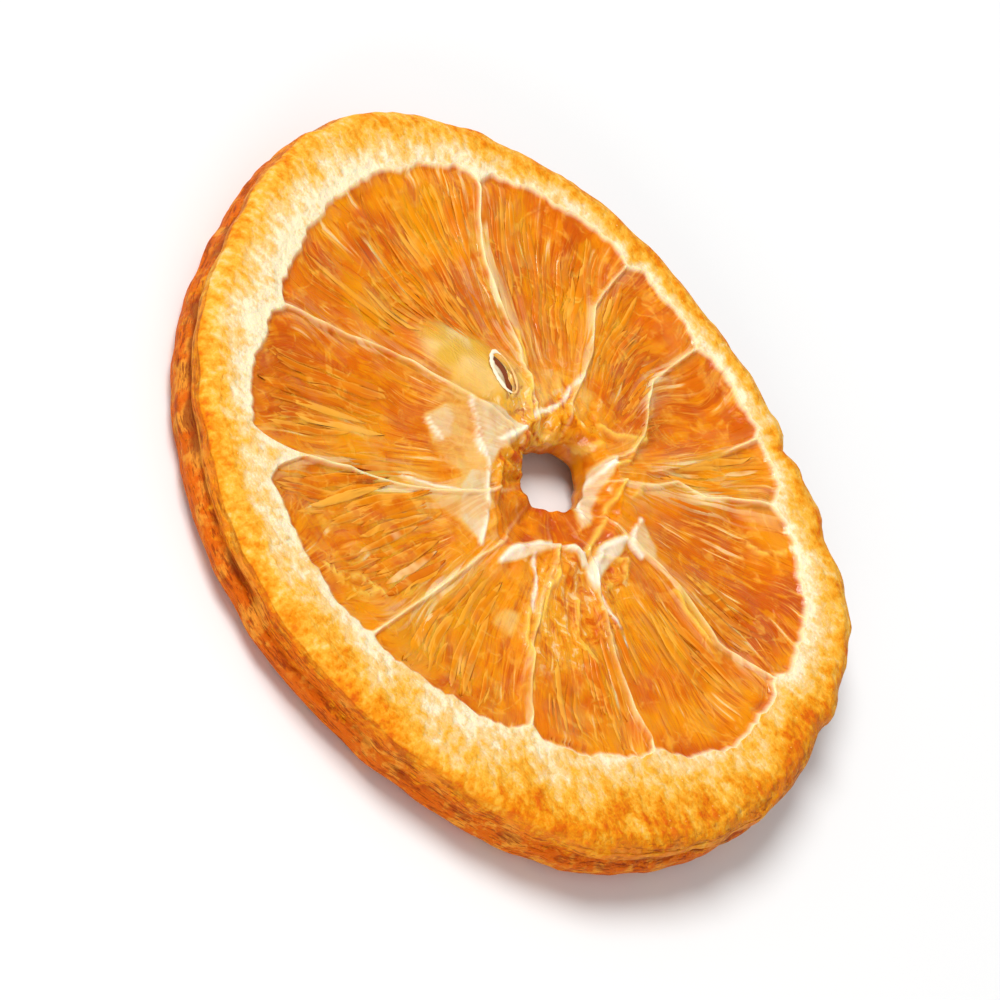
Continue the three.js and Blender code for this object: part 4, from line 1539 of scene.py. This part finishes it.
for first, last, width, tint in ((140, 350, 0.46, 0.05), (-15, 150, 0.26, 0.7)):
    turns = np.radians(np.linspace(first, last, 8))
    lip_path = [by_slit(LIP_HALF[0] * math.cos(w), LIP_HALF[1] * math.sin(w)) for w in turns]
    lips.append((*strip(lip_path, width, LIP_THICK, LIP_LIFT), tint, 0.7 - tint))
slit_lip = gathered("slit_lip", lip_material, lips)

# %% [markdown]
# ## Floor, light and camera
# The slice lies on a plain pale floor under a wide soft lamp, with a weaker one opposite and a
# bright surround. The camera looks along +Y from 42 degrees above the slice's plane through a long
# lens, and is rolled so that the slice is turned as in the photograph.

# %% Stage
floor_finish = Finish("pale_floor")
dust = floor_finish.noise(floor_finish.place, 3, 2)
floor_material = floor_finish.surface({
    "Base Color": floor_finish.blend(dust, srgb(238, 238, 238), srgb(242, 242, 241)),
    "Roughness": 0.8,
    "Specular IOR Level": 0.2,
})
FAR = 3000
floor = plain_mesh("floor", [(-FAR, -FAR, 0), (FAR, -FAR, 0), (FAR, FAR, 0), (-FAR, FAR, 0)], [(0, 1, 2, 3)])
floor.data.materials.append(floor_material)

VIEW_ROLL = 52.5
VIEW_DISTANCE = 0.9
VIEW_WIDTH = 0.086
VIEW_TARGET = Vector((0.0, 0.0, 0.003))
SENSOR_WIDTH = 36
lean, roll = math.radians(VIEW_ELEVATION), math.radians(VIEW_ROLL)
right = Vector((1, 0, 0))
up = Vector((0, math.sin(lean), math.cos(lean)))
away = Vector((0, -math.cos(lean), math.sin(lean)))
image_right = right * math.cos(roll) + up * math.sin(roll)
image_up = up * math.cos(roll) - right * math.sin(roll)
camera_data = bpy.data.cameras.new("camera")
camera = put("camera", camera_data)
camera_data.sensor_width = SENSOR_WIDTH
camera_data.lens = SENSOR_WIDTH * VIEW_DISTANCE / VIEW_WIDTH
camera_data.clip_start = 0.01
camera_data.clip_end = 20
axes = Matrix((image_right, image_up, away)).transposed().to_4x4()
camera.matrix_world = Matrix.Translation(VIEW_TARGET + away * VIEW_DISTANCE) @ axes
bpy.context.scene.camera = camera


def soft_lamp(name, direction, distance, size, power):
    lamp = bpy.data.lights.new(name, "AREA")
    lamp.shape = "DISK"
    lamp.size = size
    lamp.energy = power
    thing = put(name, lamp)
    way = Vector(direction).normalized()
    thing.location = way * distance
    thing.rotation_euler = way.to_track_quat("Z", "Y").to_euler()


key_from = image_up * 1.0 + image_right * 0.15 + away * 0.75
fill_from = away * 0.8 - image_right * 0.1 - image_up * 0.7
soft_lamp("key", key_from, distance=1.1, size=0.6, power=11)
soft_lamp("fill", fill_from, distance=1.2, size=0.9, power=9)
world = bpy.data.worlds.new("surround")
bpy.context.scene.world = world
world.use_nodes = True
surround = world.node_tree.nodes["Background"].inputs
surround["Color"].default_value = (1, 1, 1, 1)
surround["Strength"].default_value = 0.4
bpy.context.scene.view_settings.view_transform = "Standard"
bpy.context.scene.view_settings.look = "None"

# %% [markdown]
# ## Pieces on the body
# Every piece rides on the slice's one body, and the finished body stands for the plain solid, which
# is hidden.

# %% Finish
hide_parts("dried_orange_slice")
for piece in (body, sacs, crumbs, fibres, seed, slit_lip):
    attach(piece, "root")
